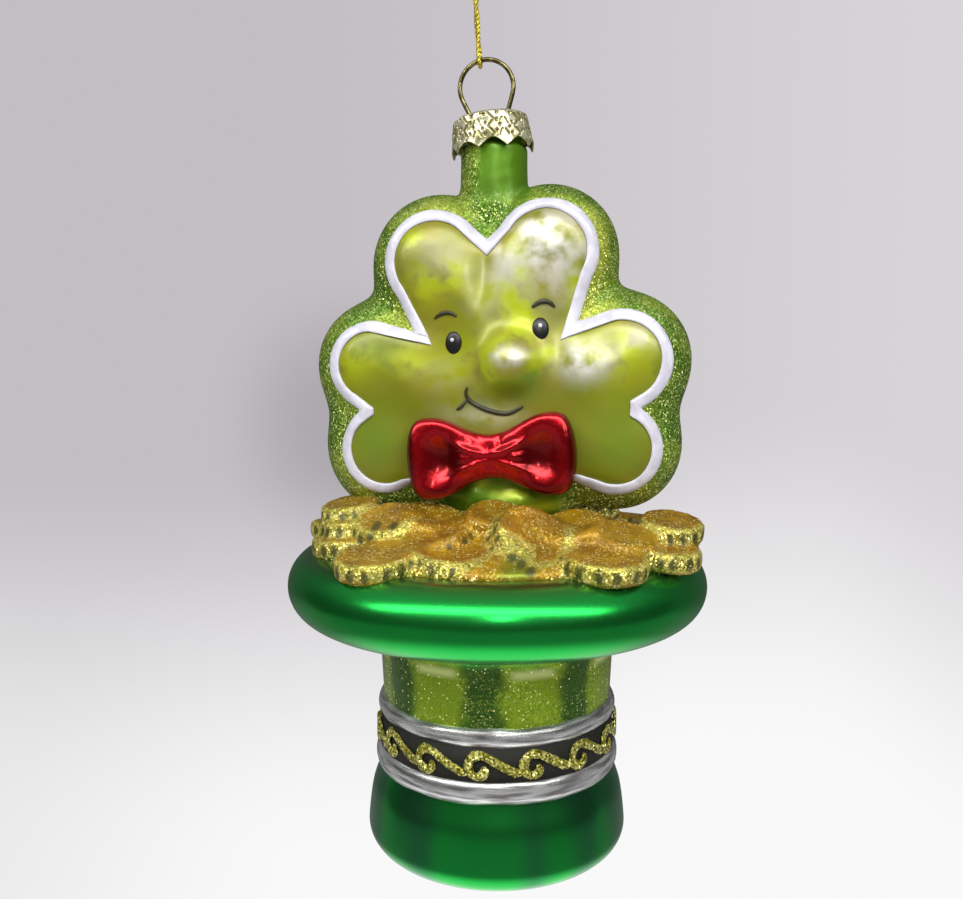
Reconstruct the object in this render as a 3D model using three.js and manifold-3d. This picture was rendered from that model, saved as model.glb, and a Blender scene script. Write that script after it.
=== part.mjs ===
// A blown glass shamrock ornament on an upside-down top hat, with its cap, wire hanger and thread.
// Millimetres, +Z up, front towards -Y. The origin is the eye of the thread, where a hook holds it.

import * as THREE from 'three';
import { mergeVertices } from 'three/addons/utils/BufferGeometryUtils.js';
import Module from 'manifold-3d';

const wasm = await Module();
wasm.setup();

// Driving dimensions. Heights on the hat are above its flat base, and all others above its brim.
const glassWall = 1.0;
const seatGap = 0.3;

// Hat, upside down: the crown stands on its flat top and the brim is above.
const hatBaseFlatRadius = 17.6;
const hatBaseRound = 3.8;
const turnedSides = 36;
const bandRadius = 18.9;
const waistRadius = 19.0;
const waistHeight = 30.0;
const brimRadius = 34.0;
const brimRoll = 5.5;
const footTaper = 0.8;
const footHeight = 10.0;
// The crown flares under the brim: how far out from the waist, and how far under the brim's middle.
const underBrim = [[0.5, 9.0], [2.4, 6.4]];
const brimHeight = 44.0;
const hatMouthRadius = 22.0;

// Hat band: a black stripe between two half-round silver mouldings.
const lowerTrimHeight = 15.5;
const upperTrimHeight = 23.8;
const lowerTrimWidth = 3.8;
const upperTrimWidth = 3.0;
const trimDepth = 0.7;
const bandCoat = 0.3;
const scrollRepeats = 15;
const scrollLine = 1.0;
const scrollCoat = 0.42;
// One repeat of the scroll as [across, up]: out of its curl, over the crest and down to the next curl.
const scrollMotif = [
  [0.75, -0.15], [0.85, -0.95], [0.2, -1.55], [-0.8, -1.35], [-1.35, -0.4], [-1.15, 0.75],
  [-0.2, 1.55], [1.1, 1.35], [2.6, 0.55], [4.2, -0.35], [5.6, -0.95], [6.95, -0.85],
];

// Shamrock: six round lobes, and one between the two of each side leaf. Each holds the centre and
// radius of its painted outline, how far the rim reaches past that, and the circle at its root.
const faceCentre = { x: 3.6, z: 29.7 };
const lobes = [
  { x: -9.0, z: 45.5, r: 8.0, rim: 3.2, rootX: 0.6, rootZ: 33.6, rootR: 10.7 },
  { x: 8.4, z: 46.9, r: 8.1, rim: 2.9, rootX: 1.3, rootZ: 34.4, rootR: 11.5 },
  { x: -19.2, z: 29.5, r: 7.0, rim: 3.5, rootX: -7.0, rootZ: 23.6, rootR: 9.0 },
  { x: 20.1, z: 30.3, r: 7.8, rim: 3.0, rootX: 8.5, rootZ: 24.5, rootR: 9.3 },
  { x: -17.0, z: 16.1, r: 7.2, rim: 4.1, rootX: -7.0, rootZ: 21.5, rootR: 9.0 },
  { x: 19.3, z: 16.7, r: 7.3, rim: 3.0, rootX: 8.5, rootZ: 22.0, rootR: 9.3 },
  { x: -12.8, z: 22.7, r: 7.4, rim: 3.0, rootX: 0.5, rootZ: 22.6, rootR: 9.0 },
  { x: 15.9, z: 23.4, r: 7.4, rim: 0.6, rootX: 0.5, rootZ: 22.6, rootR: 9.0 },
];
const rimBlend = 1.7;
const rimRound = 6.5;
const rimDepth = 7.0;
const stemPassage = { halfWidth: 5.0, halfDepth: 3.0, down: 6.0, up: 8.0 };
const stem = { x: 0.5, z: 14.5, radius: 14.0 };
const faceBlend = 3.5;
const faceCrown = 2.6;
const faceCrownReach = 5.0;
const backCrown = 2.0;
const nose = { x: faceCentre.x, z: faceCentre.z, radius: 4.5, rise: 3.6, round: 2.8 };
const evenReach = 25.0;
const stemBump = { x: 1.2, z: 9.5, radius: 3.0, rise: 2.0, round: 2.0 };

// Painted line work, raised as it dries. Paint stands off the facets under it by paintGap.
const paintGap = 0.4;
const lineWidth = 1.8;
const lineCoat = 0.6;
const lineStart = THREE.MathUtils.degToRad(-63.0);
const lineEnd = THREE.MathUtils.degToRad(229.5);
const eyeWidth = 2.6;
const eyeHeight = 3.5;
const eyeCoat = 0.6;
const eyeDotWidth = 0.6;
const browLine = 0.45;
const mouthLine = 0.6;
const leftEye = { x: -5.5, z: 32.9 };
const rightEye = { x: 7.9, z: 35 };
const leftBrow = [[-8.3, 36.4], [-6.7, 37.5], [-5.1, 36.7]];
const rightBrow = [[6.7, 38.3], [8.3, 39], [10.0, 38.2]];
const smile = [[-3.3, 26.1], [-3.5, 24.9], [-2.6, 23.5], [0.0, 22.1], [3.0, 21.8], [5.7, 23.2]];
const dimple = [[-5.1, 22.8], [-4.2, 23.8], [-4.0, 24.7]];

// Bow tie.
const bowCentre = { x: 0.4, z: 15.5 };
const bowTilt = THREE.MathUtils.degToRad(3.5);
const bowHalfWidth = 13.1;
const bowWingHalfHeight = 6.3;
const bowPinchHalfHeight = 3.5;
const bowStand = 3.2;
const bowWingShare = 0.7;
const bowBackInset = 3.0;
const bowEndSquare = 3.5;

// Coins: flat round coins in a loose heap, [x, y, height, radius, lean about x, lean about y].
const coinThickness = 3.0;
const coinEdgeRound = 0.5;
const coins = [
  [-14.6, -22.9, 1.1, 6.0, 8, -3],
  [18.4, -20.3, 1.4, 6.2, 6, 4],
  [-3.4, -20.4, 1.5, 5.8, 8, 3],
  [7.4, -17.2, 2.4, 6.2, 18, 16],
  [-21.8, -11.0, 1.4, 6.0, 0, -4],
  [-21.7, -8.8, 4.0, 5.4, 4, -6],
  [-22.7, -7.2, 6.2, 4.8, 8, -8],
  [27.0, -12.2, 1.3, 5.4, 2, 5],
  [28.0, -7.2, 4.6, 5.0, 10, 6],
  [-15.2, -12.6, 4.9, 5.0, 22, -8],
  [-27.0, 3.5, 1.5, 6.0, -3, -4],
  [27.5, 5.5, 1.5, 6.0, -3, 4],
  [-20.0, 15.5, 1.5, 7.0, -8, -5],
  [21.5, 16.5, 1.5, 6.6, -8, 5],
  [-6.5, 22.5, 1.4, 7.2, -8, 2],
  [9.0, 22.0, 2.1, 6.4, -20, 12],
  [-12.0, 13.0, 5.1, 5.6, -12, -8],
  [14.0, 13.5, 4.8, 5.6, -12, 8],
];
const moundRadius = 27.0;
const moundRise = 6.9;
const moundWall = 1.6;
const moundShares = [1, 0.93, 0.8, 0.6, 0.3];

// Neck, cap and wire.
const neckAxisX = -0.5;
const neckRadius = 5.3;
const neckRimRadius = 4.6;
const neckLength = 9.6;
const neckSink = 0.4;
const neckBoreDepth = 24.6;
const leafMouthRadius = 4.9;
const neckRimHeight = 3.0;
const neckRimStep = 0.6;
const neckFlare = [[0, 5.35, 5.3], [-1.6, 5.8, 5.3], [-3.2, 6.9, 5.5], [-5.0, 8.2, 5.5], [-7.5, 9.0, 5.2]];
const capAboveNeck = 1.3;
const capShift = -0.6;
const capLean = THREE.MathUtils.degToRad(6.0);
const capRimPlay = 0.9;
const capSkirtPlay = 0.8;
const capDepth = 4.6;
const capSheet = 0.4;
const capCorner = 0.5;
const capScallops = 9;
const capScallopDepth = 1.3;
const capTurn = THREE.MathUtils.degToRad(18.0);
const wireRadius = 0.37;
const wireHoleGap = 0.33;
const wireHoleHalfSpan = 2.95;
const ringRadius = 4.28;
const ringRise = 4.9;
const legLength = 12.0;
const wireSides = 6;

// Thread and its eye.
const threadRadius = 0.35;
const threadLean = THREE.MathUtils.degToRad(3.9);
const hangerTouch = THREE.MathUtils.degToRad(15.0);
const eyeAboveRing = 21.0;
const knotAboveEye = 3.4;
const knotRadius = 1.3;
const tailLength = 4.5;

// Colours and surfaces.
const finishes = {
  satinGreen: { color: '#1d8f3c', roughness: 0.35, metalness: 0.6 },
  leafGreen: { color: '#7f9a24', roughness: 0.4, metalness: 0.4 },
  neckGreen: { color: '#669c14', roughness: 0.2, metalness: 0.4 },
  goldGlitter: { color: '#c59a20', roughness: 0.55, metalness: 0.6 },
  chromeRed: { color: '#d01820', roughness: 0.15, metalness: 0.7 },
  whiteEnamel: { color: '#dcdae2', roughness: 0.3, metalness: 0.0 },
  silverPaint: { color: '#b9b9bf', roughness: 0.3, metalness: 0.8 },
  blackPaint: { color: '#262419', roughness: 0.45, metalness: 0.0 },
  brownPaint: { color: '#3a3312', roughness: 0.5, metalness: 0.0 },
  scrollGlitter: { color: '#9a9030', roughness: 0.6, metalness: 0.5 },
  stampedTin: { color: '#c9c7a0', roughness: 0.3, metalness: 0.9 },
  springWire: { color: '#8c8355', roughness: 0.35, metalness: 0.9 },
  goldThread: { color: '#c9b52e', roughness: 0.5, metalness: 0.6 },
};

const sum = (a, b) => a + b;
const degrees = THREE.MathUtils.degToRad;

// Solids and cuts.

function toSolid(geometry) {
  const bare = geometry.clone();
  bare.deleteAttribute('normal');
  bare.deleteAttribute('uv');
  const merged = mergeVertices(bare, 1e-5);
  return new wasm.Manifold(new wasm.Mesh({
    numProp: 3,
    vertProperties: Float32Array.from(merged.attributes.position.array),
    triVerts: Uint32Array.from(merged.index.array),
  }));
}

function toGeometry(solid) {
  const mesh = solid.getMesh();
  const geometry = new THREE.BufferGeometry();
  geometry.setAttribute('position', new THREE.BufferAttribute(new Float32Array(mesh.vertProperties), 3));
  geometry.setIndex(new THREE.BufferAttribute(new Uint32Array(mesh.triVerts), 1));
  geometry.computeVertexNormals();
  return geometry;
}

function fromGrid(rows, columns, point) {
  // A closed skin from a grid that runs round in its columns, with its first and last rows filled in.
  const positions = [];
  for (let i = 0; i < rows; i += 1) {
    for (let j = 0; j < columns; j += 1) positions.push(...point(i, j));
  }
  const index = [];
  const at = (i, j) => i * columns + (j % columns);
  for (let i = 0; i < rows - 1; i += 1) {
    for (let j = 0; j < columns; j += 1) {
      index.push(at(i, j), at(i + 1, j), at(i + 1, j + 1));
      index.push(at(i, j), at(i + 1, j + 1), at(i, j + 1));
    }
  }
  for (let j = 1; j < columns - 1; j += 1) {
    index.push(at(0, 0), at(0, j), at(0, j + 1));
    index.push(at(rows - 1, 0), at(rows - 1, j + 1), at(rows - 1, j));
  }
  return facingOut(positions, index);
}

function facingOut(positions, index) {
  let volume = 0;
  const corner = (k) => new THREE.Vector3().fromArray(positions, 3 * index[k]);
  for (let k = 0; k < index.length; k += 3) {
    volume += corner(k).dot(corner(k + 1).cross(corner(k + 2)));
  }
  if (volume < 0) {
    for (let k = 0; k < index.length; k += 3) [index[k + 1], index[k + 2]] = [index[k + 2], index[k + 1]];
  }
  const geometry = new THREE.BufferGeometry();
  geometry.setAttribute('position', new THREE.Float32BufferAttribute(positions, 3));
  geometry.setIndex(index);
  geometry.computeVertexNormals();
  return geometry;
}

function turned(profile, segments) {
  // A lathe turns about Y, so the turned piece is stood up along Z.
  const points = profile.map(([r, z]) => new THREE.Vector2(r, z));
  const geometry = new THREE.LatheGeometry(points, segments);
  geometry.rotateX(Math.PI / 2);
  geometry.deleteAttribute('normal');
  geometry.deleteAttribute('uv');
  const merged = mergeVertices(geometry, 1e-5);
  return facingOut([...merged.attributes.position.array], [...cleanIndex(merged)]);
}

function cleanIndex(geometry) {
  // Triangles that close up to a line at the axis are left out.
  const source = geometry.index.array;
  const kept = [];
  for (let k = 0; k < source.length; k += 3) {
    const [a, b, c] = [source[k], source[k + 1], source[k + 2]];
    if (a !== b && b !== c && c !== a) kept.push(a, b, c);
  }
  return kept;
}

function arc(centreR, centreZ, radius, from, to, steps) {
  const points = [];
  for (let k = 0; k <= steps; k += 1) {
    const angle = degrees(from + (to - from) * k / steps);
    points.push([centreR + radius * Math.cos(angle), centreZ + radius * Math.sin(angle)]);
  }
  return points;
}

function tube(points, radius, sides, steps) {
  const section = new THREE.Shape();
  for (let k = 0; k < sides; k += 1) {
    const angle = 2 * Math.PI * k / sides;
    const x = radius * Math.cos(angle);
    const y = radius * Math.sin(angle);
    if (k === 0) section.moveTo(x, y);
    else section.lineTo(x, y);
  }
  section.closePath();
  const path = new THREE.CatmullRomCurve3(points.map((p) => new THREE.Vector3(...p)));
  return new THREE.ExtrudeGeometry(section, { steps, bevelEnabled: false, extrudePath: path });
}

// Shamrock outline and the height of its face.

const reachStep = glassWall * 0.4;
const farthestReach = Math.max(...lobes.map((lobe) => (
  Math.hypot(lobe.x - faceCentre.x, lobe.z - faceCentre.z) + lobe.r + lobe.rim + 2 * rimRound)));

function coneDistance(x, z, lobe, grow) {
  const dx = lobe.rootX - lobe.x;
  const dz = lobe.rootZ - lobe.z;
  const along = ((x - lobe.x) * dx + (z - lobe.z) * dz) / (dx * dx + dz * dz);
  const t = Math.min(1, Math.max(0, along));
  const radius = lobe.r + t * (lobe.rootR - lobe.r) + grow;
  return Math.hypot(x - lobe.x - t * dx, z - lobe.z - t * dz) - radius;
}

function lineDistance(x, z) {
  return Math.min(...lobes.map((lobe) => coneDistance(x, z, lobe, 0)));
}

function softUnion(distances, blend) {
  return -blend * Math.log(distances.map((d) => Math.exp(-d / blend)).reduce(sum));
}

function rimDistance(x, z) {
  const foot = Math.hypot(x - stem.x, z - stem.z) - stem.radius;
  return softUnion([...lobes.map((lobe) => coneDistance(x, z, lobe, lobe.rim)), foot], rimBlend);
}

function reach(distance, angle, level) {
  // How far from the face's centre the outline lies, found from outside inwards.
  const at = (r) => distance(faceCentre.x + r * Math.cos(angle), faceCentre.z + r * Math.sin(angle));
  let outer = farthestReach;
  while (outer > reachStep && at(outer) > level) outer -= reachStep;
  let low = outer;
  let high = outer + reachStep;
  for (let k = 0; k < 30; k += 1) {
    const middle = (low + high) / 2;
    if (at(middle) > level) high = middle;
    else low = middle;
  }
  return low;
}

function bump(x, z, form) {
  const d = Math.hypot(x - form.x, z - form.z) / form.radius;
  return form.rise * Math.exp(-Math.pow(d, form.round));
}

function pillow(inside, depth, inset) {
  const t = Math.min(1, Math.max(0, (inside - inset) / rimRound));
  return (depth - inset) * Math.sqrt(1 - (1 - t) * (1 - t));
}

function frontHeight(x, z, inset) {
  const soft = softUnion(lobes.map((lobe) => coneDistance(x, z, lobe, 0)), faceBlend);
  const crowned = Math.max(0, -soft - lineWidth);
  const crown = faceCrown * (1 - Math.exp(-crowned / faceCrownReach));
  const relief = bump(x, z, nose) + bump(x, z, stemBump);
  return pillow(-rimDistance(x, z), rimDepth, inset) + crown + relief;
}

function backHeight(x, z, inset) {
  const inside = Math.max(0, -rimDistance(x, z) - rimRound);
  return pillow(-rimDistance(x, z), rimDepth, inset) + backCrown * (1 - Math.exp(-inside / rimRound));
}

function leafSolid(inset, around, frontRings, backRings) {
  // The pillow between the front and the back skin, drawn in by inset on every side.
  const spots = [];
  const index = [];
  const edge = (i) => i % around;
  const place = (i, share) => {
    // Rings are round near the middle of the face and follow the outline at the edge.
    const angle = 2 * Math.PI * i / around;
    const edgeReach = reach(rimDistance, angle, -inset);
    const r = share * (evenReach * (1 - share) + edgeReach * share);
    return [faceCentre.x + r * Math.cos(angle), faceCentre.z + r * Math.sin(angle)];
  };
  for (let i = 0; i < around; i += 1) {
    const [x, z] = place(i, 1);
    spots.push([x, 0, z]);
  }
  const front = { rings: frontRings, gather: 1.6, heightAt: (x, z) => -frontHeight(x, z, inset) };
  const back = { rings: backRings, gather: 1.1, heightAt: (x, z) => backHeight(x, z, inset) };
  for (const skin of [front, back]) addSkin(spots, index, around, skin, place, edge);
  return facingOut(spots.flat(), index);
}

function addSkin(spots, index, around, { rings, gather, heightAt }, place, edge) {
  // One skin of the pillow, from its middle out to the shared edge. More gather, finer middle.
  const middle = spots.length;
  const towardsFront = heightAt(faceCentre.x, faceCentre.z) < 0;
  spots.push([faceCentre.x, heightAt(faceCentre.x, faceCentre.z), faceCentre.z]);
  for (let k = 1; k < rings; k += 1) {
    for (let i = 0; i < around; i += 1) {
      const [x, z] = place(i, Math.sin((Math.PI / 2) * Math.pow(k / rings, gather)));
      spots.push([x, heightAt(x, z), z]);
    }
  }
  const at = (k, i) => (k === rings ? edge(i) : middle + 1 + (k - 1) * around + i % around);
  const add = (a, b, c) => index.push(...(towardsFront ? [a, b, c] : [a, c, b]));
  for (let i = 0; i < around; i += 1) {
    add(middle, at(1, i), at(1, i + 1));
    for (let k = 1; k < rings; k += 1) {
      add(at(k, i), at(k + 1, i), at(k + 1, i + 1));
      add(at(k, i), at(k + 1, i + 1), at(k, i + 1));
    }
  }
}

function onFace(x, z, lift) {
  return [x, -frontHeight(x, z, 0) - lift, z];
}

function faceNormal(x, z) {
  const step = reachStep;
  const slopeX = (frontHeight(x + step, z, 0) - frontHeight(x - step, z, 0)) / (2 * step);
  const slopeZ = (frontHeight(x, z + step, 0) - frontHeight(x, z - step, 0)) / (2 * step);
  return new THREE.Vector3(-slopeX, -1, -slopeZ).normalize();
}

// Glass: one blown shell in life, modelled in the zones that its mould and lacquers set apart.

const brimTop = brimHeight + brimRoll;
const footRadius = hatBaseFlatRadius + hatBaseRound;
const bandMiddle = (lowerTrimHeight + upperTrimHeight) / 2;
const bandTaper = 0.05;
const wallAt = (z) => bandRadius - bandTaper * (z - bandMiddle);
const brimCentreRadius = brimRadius - brimRoll;
const lowerTrimBottom = lowerTrimHeight - lowerTrimWidth / 2;

function hatProfile(inset, fine) {
  // From the axis under the base, up the crown, under the brim and over its roll.
  const roll = brimRoll - inset;
  return [
    [0, inset],
    ...arc(hatBaseFlatRadius, hatBaseRound, hatBaseRound - inset, -90, 0, fine / 2),
    [footRadius - footTaper - inset, footHeight],
    [wallAt(lowerTrimBottom) - inset, lowerTrimBottom],
    [wallAt(upperTrimHeight) - inset, upperTrimHeight],
    [waistRadius - inset, waistHeight],
    ...underBrim.map(([out, down]) => [waistRadius + out - inset, brimHeight - down]),
    ...arc(brimCentreRadius, brimHeight, roll, -100, 90, fine),
  ].map(([r, z]) => [r, z - brimTop]);
}

function hatShell() {
  const mouth = [hatMouthRadius, 0];
  const mouthInside = [hatMouthRadius, -glassWall];
  const inside = hatProfile(glassWall, 6).reverse();
  return turned([...hatProfile(0, 10), mouth, mouthInside, ...inside], turnedSides);
}

const hatClearance = toSolid(turned([...hatProfile(-seatGap, 10), [0, seatGap]], turnedSides));

function upright(rx, ry, bottom, top, x, segments) {
  const geometry = new THREE.CylinderGeometry(1, 1, top - bottom, segments);
  geometry.rotateX(Math.PI / 2);
  geometry.scale(rx, ry, 1);
  geometry.translate(x, 0, (top + bottom) / 2);
  return toSolid(geometry);
}

// The neck stands on the top of the leaf.
const leafTop = Math.max(...lobes.map((lobe) => lobe.z + lobe.r + lobe.rim));
const neckShoulder = leafTop - neckSink;
const neckTop = neckShoulder + neckLength;
const boreRadius = neckRimRadius - neckRimStep;
const neckBore = upright(boreRadius, boreRadius, neckTop - neckBoreDepth, neckTop + glassWall, neckAxisX, 24);
// Under the neck the leaf is open a little wider than the bore.
const leafMouth = upright(leafMouthRadius, leafMouthRadius, neckTop - neckBoreDepth, leafTop, neckAxisX, 24);
const stemBottom = stem.z - stem.radius;
const stemWay = upright(stemPassage.halfWidth, stemPassage.halfDepth, stemBottom - stemPassage.down,
  stemBottom + stemPassage.up, stem.x, 16);
const leafClearance = toSolid(leafSolid(-seatGap, 72, 12, 7));

function shamrockShell() {
  const outside = toSolid(leafSolid(0, 72, 12, 7));
  const inside = toSolid(leafSolid(glassWall, 36, 6, 5));
  return toGeometry(outside.subtract(inside).subtract(leafMouth).subtract(stemWay));
}

function neckTube() {
  // Oval sections from the root, which lies in the leaf, up to the round rim under the cap.
  const sections = [...neckFlare].reverse().map(([down, rx, ry]) => [neckShoulder + down, rx, ry]);
  sections.push([neckTop - neckRimHeight - neckRimStep, neckRadius, neckRadius]);
  sections.push([neckTop - neckRimHeight, neckRimRadius, neckRimRadius]);
  sections.push([neckTop, neckRimRadius, neckRimRadius]);
  const around = 32;
  const outside = fromGrid(sections.length, around, (i, j) => {
    const [z, rx, ry] = sections[i];
    const angle = 2 * Math.PI * j / around;
    return [neckAxisX + rx * Math.cos(angle), ry * Math.sin(angle), z];
  });
  return toGeometry(toSolid(outside).subtract(leafClearance).subtract(neckBore));
}

function coin([x, y, z, radius, leanX, leanY]) {
  const half = coinThickness / 2;
  const profile = [[0, -half], [radius, -half], [radius, half - coinEdgeRound],
    [radius - coinEdgeRound, half], [0, half]];
  const geometry = turned(profile, 16);
  geometry.rotateX(degrees(leanX));
  geometry.rotateY(degrees(leanY));
  geometry.translate(x, y, z);
  return toSolid(geometry);
}

function moundProfile(radius, top) {
  const foot = -2 * glassWall;
  const crown = moundShares.map((share) => [radius * share, top * Math.sqrt(1 - share * share)]);
  return [[0, foot], [radius, foot], ...crown, [0, top]];
}

function coinHeap() {
  let heap = toSolid(turned(moundProfile(moundRadius, moundRise), 32));
  for (const place of coins) heap = heap.add(coin(place));
  const hollow = turned(moundProfile(moundRadius - moundWall, moundRise - moundWall), 24);
  const solid = heap.subtract(leafClearance).subtract(hatClearance).subtract(toSolid(hollow));
  return toGeometry(solid.subtract(stemWay));
}

function bowHalfHeight(t) {
  // From the pinch in the middle, out over a wing and down its rounded end.
  const out = Math.abs(t);
  const wing = Math.sin(Math.min(1, out / bowWingShare) * Math.PI / 2);
  const past = Math.max(0, (out - bowWingShare) / (1 - bowWingShare));
  const end = Math.sqrt(Math.max(0, 1 - Math.pow(past, bowEndSquare)));
  return (bowPinchHalfHeight + (bowWingHalfHeight - bowPinchHalfHeight) * wing * wing) * Math.max(0.25, end);
}

function bowTie() {
  const rows = 17;
  const columns = 14;
  const backPlane = frontHeight(bowCentre.x, bowCentre.z, 0) - bowBackInset;
  const body = fromGrid(rows, columns, (i, j) => {
    const t = -1 + 2 * i / (rows - 1);
    const angle = 2 * Math.PI * j / columns;
    const high = bowHalfHeight(t);
    const stand = bowStand * (0.75 + 0.25 * Math.abs(t)) * Math.min(1, high / bowStand);
    const front = Math.max(0, Math.cos(angle));
    const rise = front > 0 ? bowBackInset + stand * Math.sqrt(front) : 0;
    return [bowHalfWidth * t, -(backPlane + rise), high * Math.sin(angle)];
  });
  body.rotateY(-bowTilt);
  body.translate(bowCentre.x, 0, bowCentre.z);
  const lineRoom = toSolid(enamelOutline(seatGap));
  return toGeometry(toSolid(body).subtract(leafClearance).subtract(lineRoom));
}

// Painted and applied layers.

function bandRing(height, half, outline) {
  // A ring round the crown; outline gives its depth at shares of its half width.
  const inner = (z) => wallAt(z) + seatGap;
  const profile = [
    [inner(height - half), height - half],
    ...outline.map(([share, depth]) => [inner(height) + depth, height + half * share]),
    [inner(height + half), height + half],
  ].map(([r, z]) => [r, z - brimTop]);
  return turned([...profile, profile[0]], turnedSides);
}

function silverTrim(height, width) {
  // Half-round, with an edge that keeps a sixth of its depth.
  const rounds = [[-1, 0.17], [-0.7, 0.71], [0, 1], [0.7, 0.71], [1, 0.17]];
  return bandRing(height, width / 2, rounds.map(([share, depth]) => [share, depth * trimDepth]));
}

const stripeBottom = lowerTrimHeight + lowerTrimWidth / 2 + seatGap;
const stripeTop = upperTrimHeight - upperTrimWidth / 2 - seatGap;
const stripeMiddle = (stripeTop + stripeBottom) / 2;
const scrollFaceRadius = wallAt(stripeMiddle) + seatGap + bandCoat + seatGap + scrollCoat;

function blackStripe() {
  return bandRing(stripeMiddle, (stripeTop - stripeBottom) / 2, [[-1, bandCoat], [1, bandCoat]]);
}

function scrollRibbon(spots) {
  // A low rounded ribbon of glitter glue along spots given as [angle, height].
  const halfWidth = scrollLine / 2;
  const halfCoat = scrollCoat / 2;
  const last = spots.length - 1;
  return fromGrid(spots.length, 6, (i, j) => {
    const before = spots[Math.max(0, i - 1)];
    const after = spots[Math.min(last, i + 1)];
    const turn = (after[0] - before[0]) * scrollFaceRadius;
    const direction = new THREE.Vector2(turn, after[1] - before[1]).normalize();
    const side = [1, 0.5, -0.5, -1, -0.5, 0.5][j] * halfWidth;
    const lift = [0, 1, 1, 0, -1, -1][j] * halfCoat;
    const [angle, height] = spots[i];
    const radius = scrollFaceRadius + lift;
    const a = angle - direction.y * side / scrollFaceRadius;
    const z = stripeMiddle + height + direction.x * side - brimTop;
    return [radius * Math.sin(a), -radius * Math.cos(a), z];
  });
}

function glitterScroll() {
  const pitch = 2 * Math.PI / scrollRepeats;
  const repeats = [];
  for (let k = 0; k < scrollRepeats; k += 1) {
    const spots = scrollMotif.map(([across, up]) => [pitch * k + across / scrollFaceRadius, up]);
    repeats.push(toSolid(scrollRibbon(spots)));
  }
  return toGeometry(repeats.reduce((whole, repeat) => whole.add(repeat)));
}

function enamelOutline(grow) {
  // The raised white line that follows the lobes; grow makes the room it needs.
  const steps = 100;
  const lift = paintGap - grow;
  return fromGrid(steps + 1, 5, (i, j) => {
    const angle = lineStart + (lineEnd - lineStart) * i / steps;
    const outer = reach(lineDistance, angle, grow);
    const inner = reach(lineDistance, angle, -lineWidth - grow);
    const share = [0, 0, 0.5, 1, 1][j];
    const high = [0, 0.6, 1, 0.6, 0][j];
    const r = inner + share * (outer - inner);
    const x = faceCentre.x + r * Math.cos(angle);
    const z = faceCentre.z + r * Math.sin(angle);
    return onFace(x, z, lift + high * (lineCoat + 2 * grow));
  });
}

function paintDrop(spot, width, height, coat, lift, sides) {
  const geometry = new THREE.SphereGeometry(0.5, sides, sides / 2);
  geometry.rotateX(Math.PI / 2);
  geometry.scale(width, height, coat);
  const outward = faceNormal(spot.x, spot.z);
  const away = new THREE.Vector3(0, 0, 1);
  geometry.applyQuaternion(new THREE.Quaternion().setFromUnitVectors(away, outward));
  const place = new THREE.Vector3(...onFace(spot.x, spot.z, 0));
  place.addScaledVector(outward, lift + coat / 2);
  geometry.translate(place.x, place.y, place.z);
  geometry.deleteAttribute('normal');
  geometry.deleteAttribute('uv');
  const merged = mergeVertices(geometry, 1e-5);
  return facingOut([...merged.attributes.position.array], cleanIndex(merged));
}

function paintStroke(spots, line) {
  const lift = paintGap + line / 2;
  return tube(spots.map(([x, z]) => onFace(x, z, lift)), line / 2, 6, 4 * spots.length);
}

// Cap, wire and thread.

const capPivot = new THREE.Vector3(neckAxisX + capShift, 0, neckTop);
const capTopRadius = neckRimRadius + capRimPlay + capSheet;
const capSkirtRadius = neckRadius + capSkirtPlay + capSheet;
const capMidRadius = (capTopRadius + capSkirtRadius) / 2;
const legSplay = boreRadius - wireRadius - seatGap;

function leaned(x, above) {
  // A point of the cap and ring: x across and a height above the cap's top, leaned with the cap.
  const height = capAboveNeck + above;
  return [capPivot.x + x * Math.cos(capLean) - height * Math.sin(capLean), 0,
    capPivot.z + x * Math.sin(capLean) + height * Math.cos(capLean)];
}

function ornamentCap() {
  const around = 5 * capScallops;
  // Round arches between pointed teeth.
  const scallop = (i) => capScallopDepth * (1 - Math.abs(Math.sin(capScallops * Math.PI * i / around)));
  const centre = 0.02;
  const rows = [
    () => [centre, 0],
    () => [capTopRadius - capCorner, 0],
    () => [capTopRadius, -capCorner],
    (low) => [capMidRadius, -low / 2],
    (low) => [capSkirtRadius, -low],
    (low) => [capSkirtRadius - capSheet, -low],
    (low) => [capMidRadius - capSheet, -low / 2],
    () => [capTopRadius - capSheet, -capCorner - capSheet],
    () => [capTopRadius - capSheet - capCorner, -capSheet],
    () => [centre, -capSheet],
  ];
  const cup = fromGrid(rows.length, around, (i, j) => {
    const [r, z] = rows[i](capDepth + scallop(j));
    const angle = capTurn + 2 * Math.PI * j / around;
    return [r * Math.cos(angle), r * Math.sin(angle), z];
  });
  let solid = toSolid(cup);
  const hole = wireRadius + wireHoleGap;
  for (const side of [-1, 1]) {
    solid = solid.subtract(upright(hole, hole, -2 * capSheet, capSheet, side * wireHoleHalfSpan, 14));
  }
  const geometry = toGeometry(solid);
  geometry.rotateY(-capLean);
  return geometry.translate(...leaned(0, 0));
}

// Each leg of the wire, from its lower end up: [in from the leg's splay, height above its end]
// inside the neck, then heights beside the cap's top where the wire passes through its hole.
const legRise = [[0, 0], [0, 3], [0.3, 6]];
const holeHeights = [-3.2, -1.6, -0.2];

function wireLeg(side) {
  const inNeck = legRise.map(([inward, up]) => [
    neckAxisX + side * (legSplay - inward), 0, neckTop - legLength + up]);
  const through = holeHeights.map((height) => leaned(side * wireHoleHalfSpan, height));
  return [...inNeck, ...through, leaned(side * (wireHoleHalfSpan + 0.12), 0.9)];
}

function wireRoute() {
  const ring = [];
  for (let k = 0; k <= 12; k += 1) {
    const angle = degrees(200 - 220 * k / 12);
    ring.push(leaned(ringRadius * Math.cos(angle), ringRise + ringRadius * Math.sin(angle)));
  }
  return [...wireLeg(-1), ...ring, ...wireLeg(1).reverse()];
}

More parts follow.
